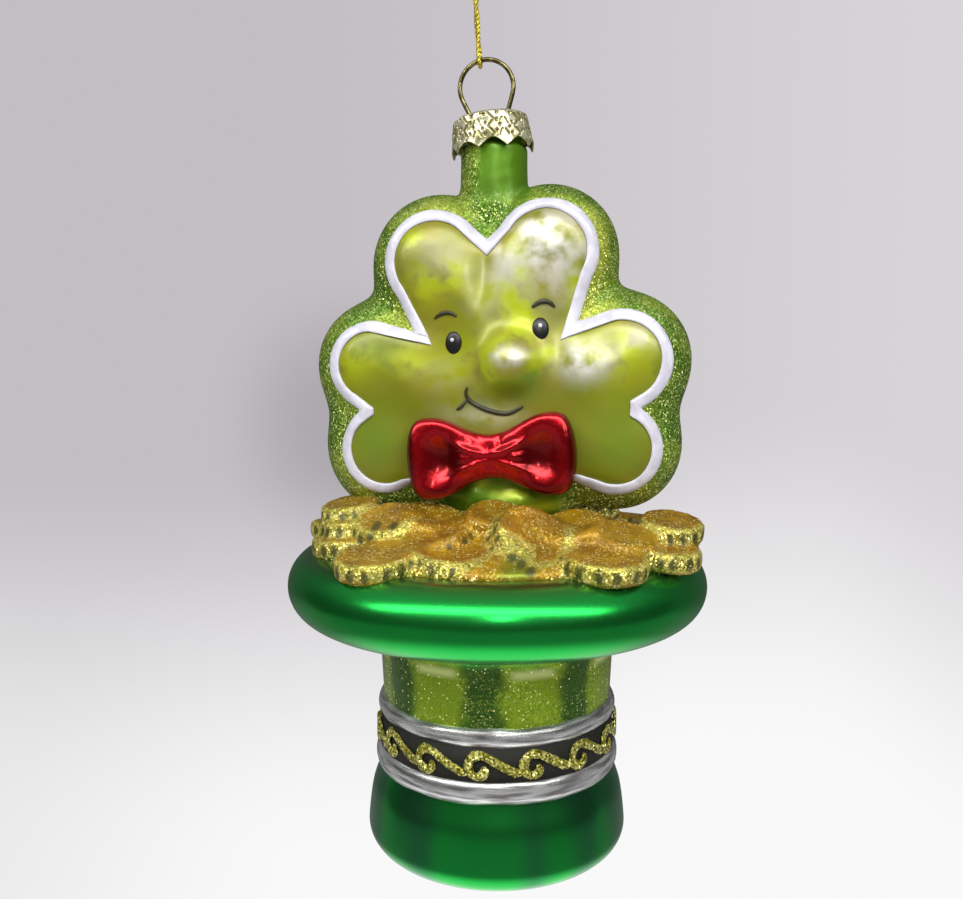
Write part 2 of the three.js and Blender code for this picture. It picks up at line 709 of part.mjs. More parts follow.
const ringCentre = leaned(0, ringRise);
const touch = {
  x: ringCentre[0] - ringRadius * Math.sin(hangerTouch),
  z: ringCentre[2] + ringRadius * Math.cos(hangerTouch),
};

function alongThread(across, depth, up) {
  // A point of the thread: across and up lean with it, measured from where it touches the ring.
  return [touch.x + across * Math.cos(threadLean) - up * Math.sin(threadLean), depth,
    touch.z + across * Math.sin(threadLean) + up * Math.cos(threadLean)];
}

// Thread route, chosen by hand as [across, depth, up] from its touch on the ring.
const threadRoute = [
  [-0.5, 0, 23.0], [-1.0, 0, 22.4], [-1.5, 0, 21.5], [-1.5, 0, 20.5], [-1.1, 0, 19.4],
  [-0.6, 0, 18.2], [-0.5, 0, 16.5], [-0.45, -0.25, 14.0], [-0.25, -0.5, 11.0], [0.1, -0.55, 8.0],
  [0.2, -0.65, 5.5], [0.1, -0.9, 3.2], [0, -1.1, 1.4], [0, -1.15, 0], [0, -0.82, -0.82], [0, 0, -1.15],
  [0, 0.82, -0.82], [0, 1.15, 0], [0, 1.1, 1.4], [-0.1, 0.9, 3.2], [-0.2, 0.65, 5.5], [-0.1, 0.55, 8.0],
  [0.25, 0.5, 11.0], [0.45, 0.25, 14.0], [0.5, 0, 16.5], [0.6, 0, 18.2], [1.1, 0, 19.4],
  [1.5, 0, 20.5], [1.5, 0, 21.5], [1.0, 0, 22.4], [0.5, 0, 23.0],
];

function hangingThread() {
  return tube(threadRoute.map((spot) => alongThread(...spot)), threadRadius, 8, 46);
}

function threadKnot() {
  const ball = new THREE.SphereGeometry(knotRadius, 12, 8);
  ball.scale(1.1, 0.8, 1);
  const centreUp = eyeAboveRing + knotAboveEye;
  ball.translate(...alongThread(0, 0, centreUp));
  let knot = toSolid(ball);
  for (const side of [-1, 1]) {
    const tail = tube([
      alongThread(side * 0.2, 0, centreUp), alongThread(side * 0.7, 0, centreUp + knotRadius),
      alongThread(side * 1.6, 0, centreUp + tailLength)], threadRadius, 6, 5);
    knot = knot.add(toSolid(tail));
  }
  return toGeometry(knot);
}

// Assembly.

const hangPoint = alongThread(0, 0, eyeAboveRing);
const ornament = new THREE.Group();
ornament.name = 'shamrock_ornament';
ornament.position.set(-hangPoint[0], 0, -hangPoint[2]);

function addPart(name, geometry, finish) {
  const mesh = new THREE.Mesh(geometry, new THREE.MeshStandardMaterial(finish));
  mesh.name = name;
  ornament.add(mesh);
}

addPart('hat_shell', hatShell(), finishes.satinGreen);
addPart('coin_heap', coinHeap(), finishes.goldGlitter);
addPart('shamrock_shell', shamrockShell(), finishes.leafGreen);
addPart('neck_tube', neckTube(), finishes.neckGreen);
addPart('bow_tie', bowTie(), finishes.chromeRed);
addPart('lower_silver_trim', silverTrim(lowerTrimHeight, lowerTrimWidth), finishes.silverPaint);
addPart('upper_silver_trim', silverTrim(upperTrimHeight, upperTrimWidth), finishes.silverPaint);
addPart('black_hat_band', blackStripe(), finishes.blackPaint);
addPart('glitter_scroll', glitterScroll(), finishes.scrollGlitter);
addPart('enamel_outline', enamelOutline(0), finishes.whiteEnamel);

for (const [side, spot] of [['left', leftEye], ['right', rightEye]]) {
  addPart(`${side}_eye`, paintDrop(spot, eyeWidth, eyeHeight, eyeCoat, seatGap, 14), finishes.blackPaint);
  const dot = paintDrop(spot, eyeDotWidth, eyeDotWidth, seatGap, 2 * seatGap + eyeCoat, 8);
  addPart(`${side}_eye_highlight`, dot, finishes.whiteEnamel);
}
addPart('left_eyebrow', paintStroke(leftBrow, browLine), finishes.brownPaint);
addPart('right_eyebrow', paintStroke(rightBrow, browLine), finishes.brownPaint);
addPart('smile_line', paintStroke(smile, mouthLine), finishes.brownPaint);
addPart('dimple_line', paintStroke(dimple, browLine), finishes.brownPaint);

addPart('ornament_cap', ornamentCap(), finishes.stampedTin);
addPart('hanger_wire', tube(wireRoute(), wireRadius, wireSides, 60), finishes.springWire);
addPart('hanging_thread', hangingThread(), finishes.goldThread);
addPart('thread_knot', threadKnot(), finishes.goldThread);

export default ornament;
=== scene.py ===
"""A blown glass shamrock ornament on an upside-down top hat, hung from its thread."""

import math
import random
from functools import partial

import bpy
import numpy as np
from mathutils import Matrix, Vector, noise


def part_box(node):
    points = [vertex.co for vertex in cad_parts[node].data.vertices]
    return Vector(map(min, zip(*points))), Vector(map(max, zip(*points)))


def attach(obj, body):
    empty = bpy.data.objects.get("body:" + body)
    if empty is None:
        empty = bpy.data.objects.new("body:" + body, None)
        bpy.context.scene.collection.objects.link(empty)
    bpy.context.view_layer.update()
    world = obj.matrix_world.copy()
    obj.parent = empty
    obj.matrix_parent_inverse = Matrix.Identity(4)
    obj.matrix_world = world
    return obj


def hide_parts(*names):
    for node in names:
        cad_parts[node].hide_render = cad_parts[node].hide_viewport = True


bl_info = {
    "name": "Glass shamrock ornament",
    "version": (1, 0, 0),
    "blender": (4, 5, 0),
    "location": "3D View > Sidebar > Ornament",
    "description": "Builds the looks of a blown glass shamrock ornament over its solids",
    "category": "Mesh",
}

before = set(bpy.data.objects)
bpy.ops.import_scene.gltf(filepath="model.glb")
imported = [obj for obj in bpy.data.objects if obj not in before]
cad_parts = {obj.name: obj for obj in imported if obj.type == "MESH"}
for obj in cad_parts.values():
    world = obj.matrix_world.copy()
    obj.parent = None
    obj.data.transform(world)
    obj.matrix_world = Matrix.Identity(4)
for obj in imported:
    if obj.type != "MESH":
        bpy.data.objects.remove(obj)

MM = 0.001
hat_low, hat_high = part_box("hat_shell")
# Lengths below are millimetres from the hat's axis and the top of its brim, front towards -Y.
HOME = Vector(((hat_low[0] + hat_high[0]) / 2, 0.0, hat_high[2]))
BRIM_TOP = 49.5

# Shamrock lobes: centre and radius of the painted outline, reach of the rim, and root circle.
LOBES = [
    (-9.0, 45.5, 8.0, 3.2, 0.6, 33.6, 10.7), (8.4, 46.9, 8.1, 2.9, 1.3, 34.4, 11.5),
    (-19.2, 29.5, 7.0, 3.5, -7.0, 23.6, 9.0), (20.1, 30.3, 7.8, 3.0, 8.5, 24.5, 9.3),
    (-17.0, 16.1, 7.2, 4.1, -7.0, 21.5, 9.0), (19.3, 16.7, 7.3, 3.0, 8.5, 22.0, 9.3),
    (-12.8, 22.7, 7.4, 3.0, 0.5, 22.6, 9.0), (15.9, 23.4, 7.4, 0.6, 0.5, 22.6, 9.0),
]
FACE_CENTRE = (3.6, 29.7)
STEM = (0.5, 14.5, 14.0)
LINE_WIDTH = 1.8
RIM_ROUND, RIM_SWELL = 6.5, 7.0
# Place, width and height of the nose.
NOSE = (3.6, 29.7, 4.5, 3.6)
# Rounded reliefs of the face: how far they rise, place across and up, width and height.
FACE_RELIEF = [
    (0.35, 3.7, 30.1, 1.2, 1.0), (0.5, -7.6, 27.2, 5.2, 4.6), (0.7, 13.8, 29.8, 5.0, 4.2),
    (-0.7, -0.4, 43.5, 2.2, 6.0), (-0.4, -10.5, 35.4, 2.6, 2.6), (-0.4, 13.4, 36.8, 2.6, 2.6),
    (-0.6, 1.0, 23.4, 6.0, 2.2), (1.6, -2.6, 9.2, 2.6, 2.4), (1.8, 4.6, 8.4, 2.8, 2.2),
    (1.4, 1.2, 6.2, 2.2, 1.8),
]
# Neck: its axis, and height and half widths across and fore and aft from root to rim.
NECK_X = -0.5
NECK_SECTIONS = [
    (47.0, 9.4, 4.8), (50.0, 9.0, 5.2), (52.5, 8.2, 5.4), (54.3, 6.9, 5.5), (55.9, 5.8, 5.3),
    (57.5, 5.4, 5.3), (60.5, 5.3, 5.3), (63.5, 5.3, 5.3), (64.1, 4.6, 4.6), (67.1, 4.6, 4.6),
]

# Clouds of colour, each row a strength, a place across and up, a width and a height: pearl paint with
# painted highlights, painted shade, yellow paint, painted highlights on the lumps under the bow, and gold
# by the white line.
PEARL_AND_HIGHLIGHTS = [
    (1.2, 3.3, 30.7, 2.4, 1.4), (1.0, 7.6, 48.2, 3.0, 3.0), (0.7, 10.5, 46.5, 6.0, 7.0),
    (0.5, 2.6, 45.0, 2.4, 3.6), (1.3, 14.6, 30.0, 3.4, 2.6), (0.26, -7.9, 46.0, 4.6, 3.0),
    (0.15, -1.0, 39.5, 3.0, 4.0), (0.15, -6.6, 27.6, 4.0, 2.6), (0.4, 22.8, 33.6, 3.0, 2.0),
    (0.3, -1.0, 21.8, 6.0, 2.0),
]
SHADE = [
    (1.0, -18.0, 17.5, 6.0, 7.0), (0.9, 19.5, 18.5, 6.5, 8.0), (0.7, -18.0, 31.5, 7.0, 3.6),
    (0.8, 3.8, 25.2, 5.0, 1.6), (0.3, 10.0, 21.0, 5.0, 4.0), (0.5, 25.5, 29.0, 2.0, 6.0),
]
YELLOW = [
    (0.6, -4.0, 30.0, 6.0, 5.0), (1.0, -10.0, 42.4, 3.0, 3.4), (0.8, -5.6, 42.8, 2.4, 2.4),
    (1.0, -12.2, 48.6, 1.8, 1.8), (1.0, 4.2, 42.0, 2.0, 6.0), (0.9, 13.0, 40.6, 1.4, 5.0),
    (0.9, 9.4, 31.0, 1.4, 3.0), (0.8, 5.0, 36.0, 2.4, 2.6), (0.7, -21.5, 29.6, 3.6, 3.4),
    (0.7, -12.8, 30.0, 3.0, 2.2), (0.9, 20.0, 31.0, 5.0, 4.4), (0.6, 3.0, 40.0, 4.0, 3.0),
]
# Painted highlights on the glossy lumps under the bow.
LUMP_HIGHLIGHTS = [(1.0, 3.4, 9.6, 3.2, 1.1), (1.0, 8.6, 7.6, 3.0, 0.9), (1.0, -1.6, 11.4, 1.2, 1.0)]
GOLD_BY_LINE = [
    (1.0, 15.5, 46.0, 4.5, 8.0), (0.8, 13.6, 36.0, 4.0, 4.0), (0.8, -11.5, 37.5, 4.0, 4.0),
    (0.5, -10.0, 54.0, 6.0, 3.0), (0.5, -22.0, 13.0, 6.0, 5.0), (0.4, 20.0, 10.0, 8.0, 3.0),
]

# Eyes: side and place. Strokes: name, what it replaces, width and spots across and up.
EYES = (("left", -5.5, 32.9), ("right", 7.9, 35.0))
EYE = {"wide": 2.6, "high": 3.5, "coat": 0.5, "lift": 0.0}
EYE_DOT = {"wide": 0.66, "high": 0.66, "coat": 0.2, "lift": 0.42}
STROKE_LIFT = 0.1
STROKES = (
    ("left_brow", "left_eyebrow", 0.65,
     [(-8.6, 36.6), (-7.8, 37.2), (-6.8, 37.5), (-5.8, 37.4), (-5.0, 36.9)]),
    ("right_brow", "right_eyebrow", 0.8,
     [(6.6, 38.2), (7.4, 38.8), (8.3, 39.1), (9.3, 38.9), (10.0, 38.2)]),
    ("smile", "smile_line", 0.78,
     [(-3.3, 26.1), (-3.5, 24.9), (-2.6, 23.7), (0.0, 22.5), (2.9, 22.1), (5.3, 23.2)]),
    ("dimple", "dimple_line", 0.6, [(-5.0, 22.6), (-4.2, 23.2), (-3.5, 24.0)]),
)

# Coins: across, fore and aft, height, radius, and how they lean about each.
COINS = [
    (-14.6, -22.9, 1.1, 6.0, 8, -3), (18.4, -20.3, 1.4, 6.2, 6, 4), (-3.4, -20.4, 1.5, 5.8, 8, 3),
    (7.4, -17.2, 2.4, 6.2, 18, 16), (-21.8, -11.0, 1.4, 6.0, 0, -4), (-21.7, -8.8, 4.0, 5.4, 4, -6),
    (-22.7, -7.2, 6.2, 4.8, 8, -8), (27.0, -12.2, 1.3, 5.4, 2, 5), (28.0, -7.2, 4.6, 5.0, 10, 6),
    (-15.2, -12.6, 4.9, 5.0, 22, -8), (-27.0, 3.5, 1.5, 6.0, -3, -4), (27.5, 5.5, 1.5, 6.0, -3, 4),
    (-20.0, 15.5, 1.5, 7.0, -8, -5), (21.5, 16.5, 1.5, 6.6, -8, 5), (-6.5, 22.5, 1.4, 7.2, -8, 2),
    (9.0, 22.0, 2.1, 6.4, -20, 12), (-12.0, 13.0, 5.1, 5.6, -12, -8), (14.0, 13.5, 4.8, 5.6, -12, 8),
]
# More coins that only part of shows above the heap.
SUNK_COINS = [
    (7.4, -16.6, 4.3, 5.6, 30, 26), (-6.6, -16.0, 3.5, 5.2, 12, -8), (-9.0, -11.4, 5.4, 5.0, 14, 8),
    (13.4, -12.6, 4.8, 5.2, 16, -8), (1.6, -12.2, 6.0, 4.8, 16, 6), (1.0, -20.2, 1.6, 4.6, 14, -6),
    (20.6, -13.6, 3.6, 5.0, 12, 10),
]
COIN_THICK = 3.5
# The mound under the coins, as [radius, height].
MOUND = [
    (0.0, -1.5), (26.0, -1.5), (27.0, 0.0), (26.4, 1.1), (24.5, 2.0), (21.5, 2.8), (17.5, 3.8), (13.5, 5.2),
    (9.0, 6.5), (4.0, 6.9), (0.0, 6.9),
]
# Ticks that stray from the edges, across and up.
LOOSE_TICKS = ((-16.3, 5.2), (-13.4, 5.3), (-16.7, 3.9), (5.4, 2.6), (8.2, 1.1), (6.8, 1.9))

# Middle of the bow across and up, and its tilt.
BOW = (0.4, 15.5, math.radians(3.5))
BOW_HALF_WIDTH = 13.2

BAND_LOW, BAND_HIGH = 15.5 - BRIM_TOP, 23.8 - BRIM_TOP
BAND_MIDDLE = (BAND_LOW + BAND_HIGH) / 2
STRIPE_MIDDLE = 19.85 - BRIM_TOP
BRUSH_DRIFT = 0.25
# One repeat of the scroll as [across, up]: out of its curl, over the crest and down to the next curl.
SCROLL_MOTIF = [
    (0.65, -0.1), (0.95, -0.9), (0.3, -1.6), (-0.8, -1.5), (-1.5, -0.5), (-1.3, 0.75),
    (-0.3, 1.6), (1.1, 1.4), (2.6, 0.55), (4.2, -0.35), (5.6, -1.0), (6.9, -0.9),
]

# The cap leans on the neck's rim. Its radii at the top and the skirt, and its sheet.
CAP_LEAN, CAP_PIVOT, CAP_TURN = math.radians(6.0), (-1.1, 67.1), math.radians(18.0)
CAP_TOP, CAP_SKIRT, CAP_SHEET = 5.9, 6.5, 0.28
SCALLOPS = 9
CAP_DOTS = (
    (1.1, 1.0), (1.3, 2.4), (0.8, 3.2), (1.2, 4.1), (3.3, 0.9), (3.2, 2.0), (3.7, 2.8), (3.1, 3.7),
)
# Middle and radius of the wire's ring above the cap, and half the wire's thickness.
RING_UP, RING_RADIUS, WIRE_RADIUS = 4.9, 4.28, 0.37

# The thread as [across, depth, up] from where it turns on the ring, leaned with the thread.
THREAD_ROUTE = [
    (-0.5, 0, 23.0), (-1.0, 0, 22.4), (-1.5, 0, 21.5), (-1.5, 0, 20.5), (-1.1, 0, 19.4),
    (-0.6, 0, 18.2), (-0.5, 0, 16.5), (-0.45, -0.25, 14.0), (-0.25, -0.5, 11.0), (0.1, -0.55, 8.0),
    (0.2, -0.5, 5.5), (0.1, -0.7, 3.2), (0, -0.85, 1.4), (0, -0.88, 0), (0, -0.63, -0.63), (0, 0, -0.88),
    (0, 0.63, -0.63), (0, 0.88, 0), (0, 0.85, 1.4), (-0.1, 0.7, 3.2), (-0.2, 0.5, 5.5), (-0.1, 0.5, 8.0),
    (0.25, 0.5, 11.0), (0.45, 0.25, 14.0), (0.5, 0, 16.5), (0.6, 0, 18.2), (1.1, 0, 19.4),
    (1.5, 0, 20.5), (1.5, 0, 21.5), (1.0, 0, 22.4), (0.5, 0, 23.0),
]
THREAD_LEAN = math.radians(3.9)
THREAD_UP = 21.0
KNOT_UP, KNOT_RADIUS = 24.4, 0.34
PLIES, PITCH = 3, 2.2

# Camera: distance from the hat's axis, height, and how it is swung, pitched and panned.
CAMERA_AWAY, CAMERA_UP = 155.0, 30.25
CAMERA_SWING, CAMERA_PITCH, CAMERA_PAN = math.radians(8.0), math.radians(5.38), math.radians(0.935)
# Lights in metres: name, place, size, power and whether it is mirrored.
LIGHTS = (
    ("right fill", (0.30, -0.34, 0.10), (0.25, 0.25), 0.9, False),
    ("left fill", (-0.32, -0.30, 0.06), (0.25, 0.25), 0.55, False),
    ("window", (0.02, -0.33, 0.25), (1.4, 0.13), 4.4, True),
    ("right lamp", (0.07, -0.34, 0.08), (0.045, 0.045), 0.17, True),
)


def linear(code):
    """An sRGB hex colour as linear red, green, blue and alpha."""
    channels = [int(code[k:k + 2], 16) / 255 for k in (1, 3, 5)]
    return tuple(c / 12.92 if c <= 0.04045 else ((c + 0.055) / 1.055) ** 2.4 for c in channels) + (1.0,)


def place(x, y, z):
    """A point given in millimetres from the brim's middle, in the row's metres."""
    return HOME + Vector((x, y, z)) * MM


# Materials.

def node(tree, kind, inputs=(), out=0, **settings):
    """Adds one shader node and returns one of its outputs, or all of them where out is None.

    Its inputs are given in their order, or by name or number, and each takes a value, an sRGB hex
    colour or another node's output.
    """
    made = tree.nodes.new("ShaderNode" + kind)
    for key, value in settings.items():
        setattr(made, key, value)
    for key, value in inputs.items() if isinstance(inputs, dict) else enumerate(inputs):
        if isinstance(value, bpy.types.NodeSocket):
            tree.links.new(value, made.inputs[key])
        else:
            made.inputs[key].default_value = linear(value) if isinstance(value, str) else value
    return made.outputs if out is None else made.outputs[out]


EASED = {"interpolation_type": "SMOOTHSTEP"}
IN_COLOUR = {"data_type": "RGBA"}


def material(name, finish, *values):
    """A material whose surface finish lays out, given the material's own node-adding function."""
    made = bpy.data.materials.new(name)
    made.use_nodes = True
    made.node_tree.nodes.clear()
    add = partial(node, made.node_tree)
    add("OutputMaterial", {"Surface": finish(add, *values)}, None)
    return made


def clouds(add, size_mm, detail, *levels, where=None):
    """Soft clouds of about size_mm, eased between levels where these are given."""
    cloud = add("TexNoise", {"Vector": where or add("TexCoord", out="Object"), "Scale": 1 / (size_mm * MM),
                             "Detail": detail})
    return add("MapRange", (cloud, *levels), **EASED) if levels else cloud


def dappled(add, first, second, size_mm, detail, low, high, where=None):
    """A colour that drifts from one tone to another in soft clouds."""
    share = clouds(add, size_mm, detail, low, high, where=where)
    return add("Mix", {0: share, 6: first, 7: second}, 2, **IN_COLOUR)


def lacquer(add, colour, metallic, roughness, uneven=(), coat=0.0, coat_roughness=0.1, where=None):
    """A painted or plated surface. uneven is the size in mm, detail and depth in mm of its waves."""
    inputs = {"Base Color": colour, "Metallic": metallic, "Roughness": roughness,
              "Coat Weight": coat, "Coat Roughness": coat_roughness}
    if uneven:
        waves = clouds(add, uneven[0], uneven[1], where=where)
        inputs["Normal"] = add("Bump", {"Height": waves, "Distance": uneven[2] * MM, "Strength": 1.0})
    return add("BsdfPrincipled", inputs)


def glitter(add, deep, bright, glint, grain_mm, spread=0.75, roughness=0.34, shine=0.07):
    """Cut metal flakes that lie at many angles in lacquer, so that each one flashes by itself.

    The real flakes are about 0.1 mm, too fine to show, and are drawn 2 to 3 times coarser. Some flakes
    are painted in the glint colour, and the few that would catch a lamp give off a little light: both are
    painted glints.
    """
    where = add("TexCoord", out="Object")
    flakes = add("TexVoronoi", {"Vector": where, "Scale": 1 / (grain_mm * MM)}, None)
    tilt = add("VectorMath", (flakes["Color"], (0.5, 0.5, 0.5)), operation="SUBTRACT")
    tilt = add("VectorMath", {0: tilt, "Scale": spread}, operation="SCALE")
    turned = add("VectorMath", (add("NewGeometry", out="Normal"), tilt), operation="ADD")
    turned = add("VectorMath", (turned,), operation="NORMALIZE")
    caught, tone, flash = add("SeparateColor", (flakes["Color"],), None)
    light = add("MapRange", (tone, 0.1, 0.8), **EASED)
    # Painted glints: flakes picked at random take the glint colour.
    flashing = add("MapRange", (flash, 0.84, 0.98), **EASED)
    colour = add("Mix", {0: light, 6: deep, 7: bright}, 2, **IN_COLOUR)
    colour = add("Mix", {0: flashing, 6: colour, 7: glint}, 2, **IN_COLOUR)
    foil = add("BsdfPrincipled", {"Base Color": colour, "Metallic": 0.55, "Roughness": roughness,
                                  "Normal": turned})
    # Painted glints: the few flakes that would catch a lamp glow.
    lit = add("MapRange", (caught, 1 - shine, 1 - shine / 3, 0.0, 0.5), **EASED)
    return add("MixShader", (lit, foil, add("Emission", (glint, 0.9))))


def sparkled(add, shader, apart_mm, code):
    """Scatters a few round pale flakes of coarse glitter over a surface, which glow as painted glints."""
    cells = add("TexVoronoi", {"Vector": add("TexCoord", out="Object"), "Scale": 1 / (apart_mm * MM)}, None)
    pick = add("SeparateColor", (cells["Color"],))
    edge = add("Math", (pick, -0.2, cells["Distance"]), operation="MULTIPLY_ADD")
    dot = add("Math", (add("MapRange", (edge, 0.06, -0.02), **EASED),
                       add("MapRange", (pick, 0.3, 0.7), **EASED)), operation="MULTIPLY")
    return add("MixShader", (dot, shader, add("Emission", (code, 0.9))))


def satin_green(add, settings):
    """Metallic green lacquer sprayed over silvered glass: satin, so it mirrors in broad soft bands.

    Between brim and band it is sprayed thinner, in light and dark patches, and dusted with glitter,
    with a pale painted highlight at its top between the dark patches.
    """
    where = add("TexCoord", out="Object")
    x, y, height = add("SeparateXYZ", (where,), None)
    up = add("Math", (height, 1 / MM, -HOME.z / MM), operation="MULTIPLY_ADD")
    # The blown crown is faintly fluted from top to bottom, which draws streaks in the reflections,
    # and its green is painted duller in the flutes' hollows as painted shade.
    stretched = add("Mapping", {"Vector": where, "Scale": (1.0, 1.0, 0.12)})
    flute = clouds(add, 10.0, 1.0, where=stretched)
    crown = add("MapRange", (up, -14.0, -20.0), **EASED)
    relief = add("Math", (flute, crown), operation="MULTIPLY")
    flute_painted_shade = add("Math", (add("MapRange", (flute, 0.64, 0.4), **EASED), crown), operation="MULTIPLY")
    green = add("Mix", {0: flute_painted_shade, 6: settings.green, 7: "#2a7e48"}, 2, **IN_COLOUR)
    # The brim's flat top next to the heap is painted a dull olive.
    thin = add("MapRange", (up, -1.9, 0.1, 0.0, 0.75), **EASED)
    green = add("Mix", {0: thin, 6: green, 7: "#55703a"}, 2, **IN_COLOUR)
    plain = add("BsdfPrincipled", {
        "Base Color": green, "Metallic": 0.93, "Roughness": settings.satin, "Coat Weight": 0.1,
        "Coat Roughness": 0.6,
        "Normal": add("Bump", {"Height": relief, "Distance": 0.2 * MM, "Strength": 1.0})})
    # Eight darker patches run down the waist, and between them, at its top, lies a pale painted highlight.
    across = add("Math", (x, HOME.x), operation="SUBTRACT")
    turn = add("Math", (across, add("Math", (y, -1.0), operation="MULTIPLY")), operation="ARCTAN2")
    turn = add("Math", (turn, 8.0, -0.28), operation="MULTIPLY_ADD")
    wave = add("Math", (turn,), operation="COSINE")
    off = add("Math", (add("Math", (up, 16.0), operation="ADD"),), operation="ABSOLUTE")
    pale = add("Math", (add("MapRange", (wave, 0.2, -0.6), **EASED),
                        add("MapRange", (off, 1.2, 0.1, 0.0, 0.9), **EASED)), operation="MULTIPLY")
    wave = add("Math", (clouds(add, 4.0, 2.0), 1.5, wave), operation="MULTIPLY_ADD")
    patch = add("MapRange", (wave, 1.5, 0.6), **EASED)
    deep = add("Mix", {0: patch, 6: "#2a4c12", 7: "#6a8c18"}, 2, **IN_COLOUR)
    bright = add("Mix", {0: patch, 6: "#42701a", 7: "#9fc022"}, 2, **IN_COLOUR)
    waist = glitter(add, deep, bright, "#c9d060", 0.22)
    sheen = lacquer(add, bright, 0.8, 0.22, (4.0, 1.0, 0.3), 0.5, 0.12)
    waist = add("MixShader", (clouds(add, 4.0, 1.0, 0.35, 0.6, 0.4, 0.9), waist, sheen))
    # The pale lacquer here is the painted highlight.
    waist = add("MixShader", (pale, waist, lacquer(add, "#d4dc8c", 0.2, 0.3)))
    waist = sparkled(add, waist, 0.6, "#e8e8a0")
    # The sprayed edges wander up and down by a millimetre.
    level = add("Math", (clouds(add, 5.0, 1.0), 2.4, up), operation="MULTIPLY_ADD")
    rest = add("Math", (add("MapRange", (level, -14.4, -11.6), **EASED),
                        add("MapRange", (level, -23.0, -24.2), **EASED)), operation="MAXIMUM")
    return add("MixShader", (rest, waist, plain))


def painted_face(add, settings):
    """Pearl, green and yellow lacquers misted over silvered glass, in a rim of green glitter.

    The silver glows through the thin colours, and the pearl lies over them as a pale bloom.
    The pearl mask also lays painted highlights, and the shade mask lays painted shade.
    """
    tone = add("Attribute", (), None, attribute_name="tone")
    pearl, shade, yellow = add("SeparateColor", (tone["Color"],), None)
    colour = dappled(add, settings.face, "#827c1c", 8.0, 1.0, 0.38, 0.62)
    # Painted shade from the shade mask, yellow paint, then pearl paint with painted highlights.
    for mask, share, code in ((shade, 0.85, "#56700a"),
                              (yellow, clouds(add, 3.4, 3.0, 0.3, 0.56), "#a6b200"),
                              (pearl, clouds(add, 3.4, 3.0, 0.72, 0.4), "#d2cfc6")):
        share = add("Math", (mask, share), operation="MULTIPLY")
        colour = add("Mix", {0: share, 6: colour, 7: code}, 2, **IN_COLOUR)
    silver = add("MapRange", (shade, 0.1, 0.9, 0.38, 0.04), **EASED)
    face = lacquer(add, colour, silver, settings.satin, (6.0, 1.0, 0.3), 0.25, 0.18)
    # On the rim the masks mean: bare glossy lacquer, deep green, and gold beside the white line, which on
    # the lumps under the bow is a painted highlight.
    bare, deep_green, gold = pearl, shade, yellow
    deep = dappled(add, "#385a12", "#55761a", 6.0, 1.0, 0.4, 0.62)
    deep = add("Mix", {0: gold, 6: deep, 7: "#8c9a2a"}, 2, **IN_COLOUR)
    bright = dappled(add, "#688e24", "#94aa32", 6.0, 1.0, 0.4, 0.62)
    bright = add("Mix", {0: gold, 6: bright, 7: "#c2c850"}, 2, **IN_COLOUR)
    clear = add("Mix", {0: deep_green, 6: "#578408", 7: "#3a5a08"}, 2, **IN_COLOUR)
    # The painted highlight on the glossy lumps under the bow.
    clear = add("Mix", {0: gold, 6: clear, 7: "#a8b820"}, 2, **IN_COLOUR)
    gloss = lacquer(add, clear, 0.5, 0.42, (3.0, 1.0, 0.2), 0.3, 0.2)
    rim = add("MixShader", (bare, glitter(add, deep, bright, "#d6e08a", 0.2), gloss))
    return add("MixShader", (tone["Alpha"], rim, face))


def gold_coins(add, settings):
    """Gold glitter strewn in amber lacquer: grainy on the edges, smooth and brown on worn tops.

    Dark ticks are brushed across the coins' edges.
    """
    tone = add("Attribute", (), None, attribute_name="tone")
    tick, edge, valley = add("SeparateColor", (tone["Color"],), None)
    amber = dappled(add, "#7e5a04", settings.gold, 4.0, 2.0, 0.35, 0.65)
    pale = dappled(add, "#74711a", "#b4a83c", 2.5, 2.0, 0.4, 0.6)
    deep = add("Mix", {0: edge, 6: amber, 7: pale}, 2, **IN_COLOUR)
    bright = add("Mix", {0: edge, 6: "#ac8616", 7: "#d0c45c"}, 2, **IN_COLOUR)
    grains = glitter(add, deep, bright, "#f6e490", 0.26, 0.95, 0.3, 0.14)
    smooth = lacquer(add, amber, 0.4, 0.4, (0.5, 2.0, 0.12), 0.15, 0.2)
    worn = add("Math", (clouds(add, 5.0, 1.0, 0.42, 0.6, 0.3, 0.85),
                        add("Math", (1.0, edge), operation="SUBTRACT")), operation="MULTIPLY")
    gold = add("MixShader", (worn, grains, smooth))
    # Green lacquer shows through in the valley under the bow.
    green = add("Math", (valley, 0.7), operation="MULTIPLY")
    gold = add("MixShader", (green, gold, lacquer(add, "#5f8414", 0.6, 0.3)))
    gold = sparkled(add, gold, 0.55, "#fff2b8")
    return add("MixShader", (tick, gold, lacquer(add, "#2c3410", 0.2, 0.4)))


def red_chrome(add, settings):
    """Clear red lacquer over silvered glass: a red mirror, with painted shade in the wing dishes,
    at the wing ends, along the underside and where it turns from the camera.
    """
    painted_shade_share = add("Attribute", (), "Fac", attribute_name="tone")
    # Painted shade on sides turned from the camera, and from the mask in the dishes, at the ends and
    # underneath.
    edge = add("LayerWeight", {"Blend": 0.4}, "Facing")
    colour = add("Mix", {0: edge, 6: settings.red, 7: "#5a0c10"}, 2, **IN_COLOUR)
    colour = add("Mix", {0: painted_shade_share, 6: colour, 7: "#3c0806"}, 2, **IN_COLOUR)
    return lacquer(add, colour, 0.85, 0.25, (1.8, 2.0, 0.16), 0.35, 0.16)


def silver_paint(add, settings):
    """Silver paint brushed on round the mouldings, with streaks that run along the brush."""
    brushed = add("Mapping", {"Vector": add("TexCoord", out="Object"), "Scale": (0.25, 0.25, 2.4)})
    colour = dappled(add, "#84827f", settings.silver, 1.6, 3.0, 0.35, 0.65, brushed)
    return lacquer(add, colour, 0.75, 0.27, (1.6, 3.0, 0.07), where=brushed)


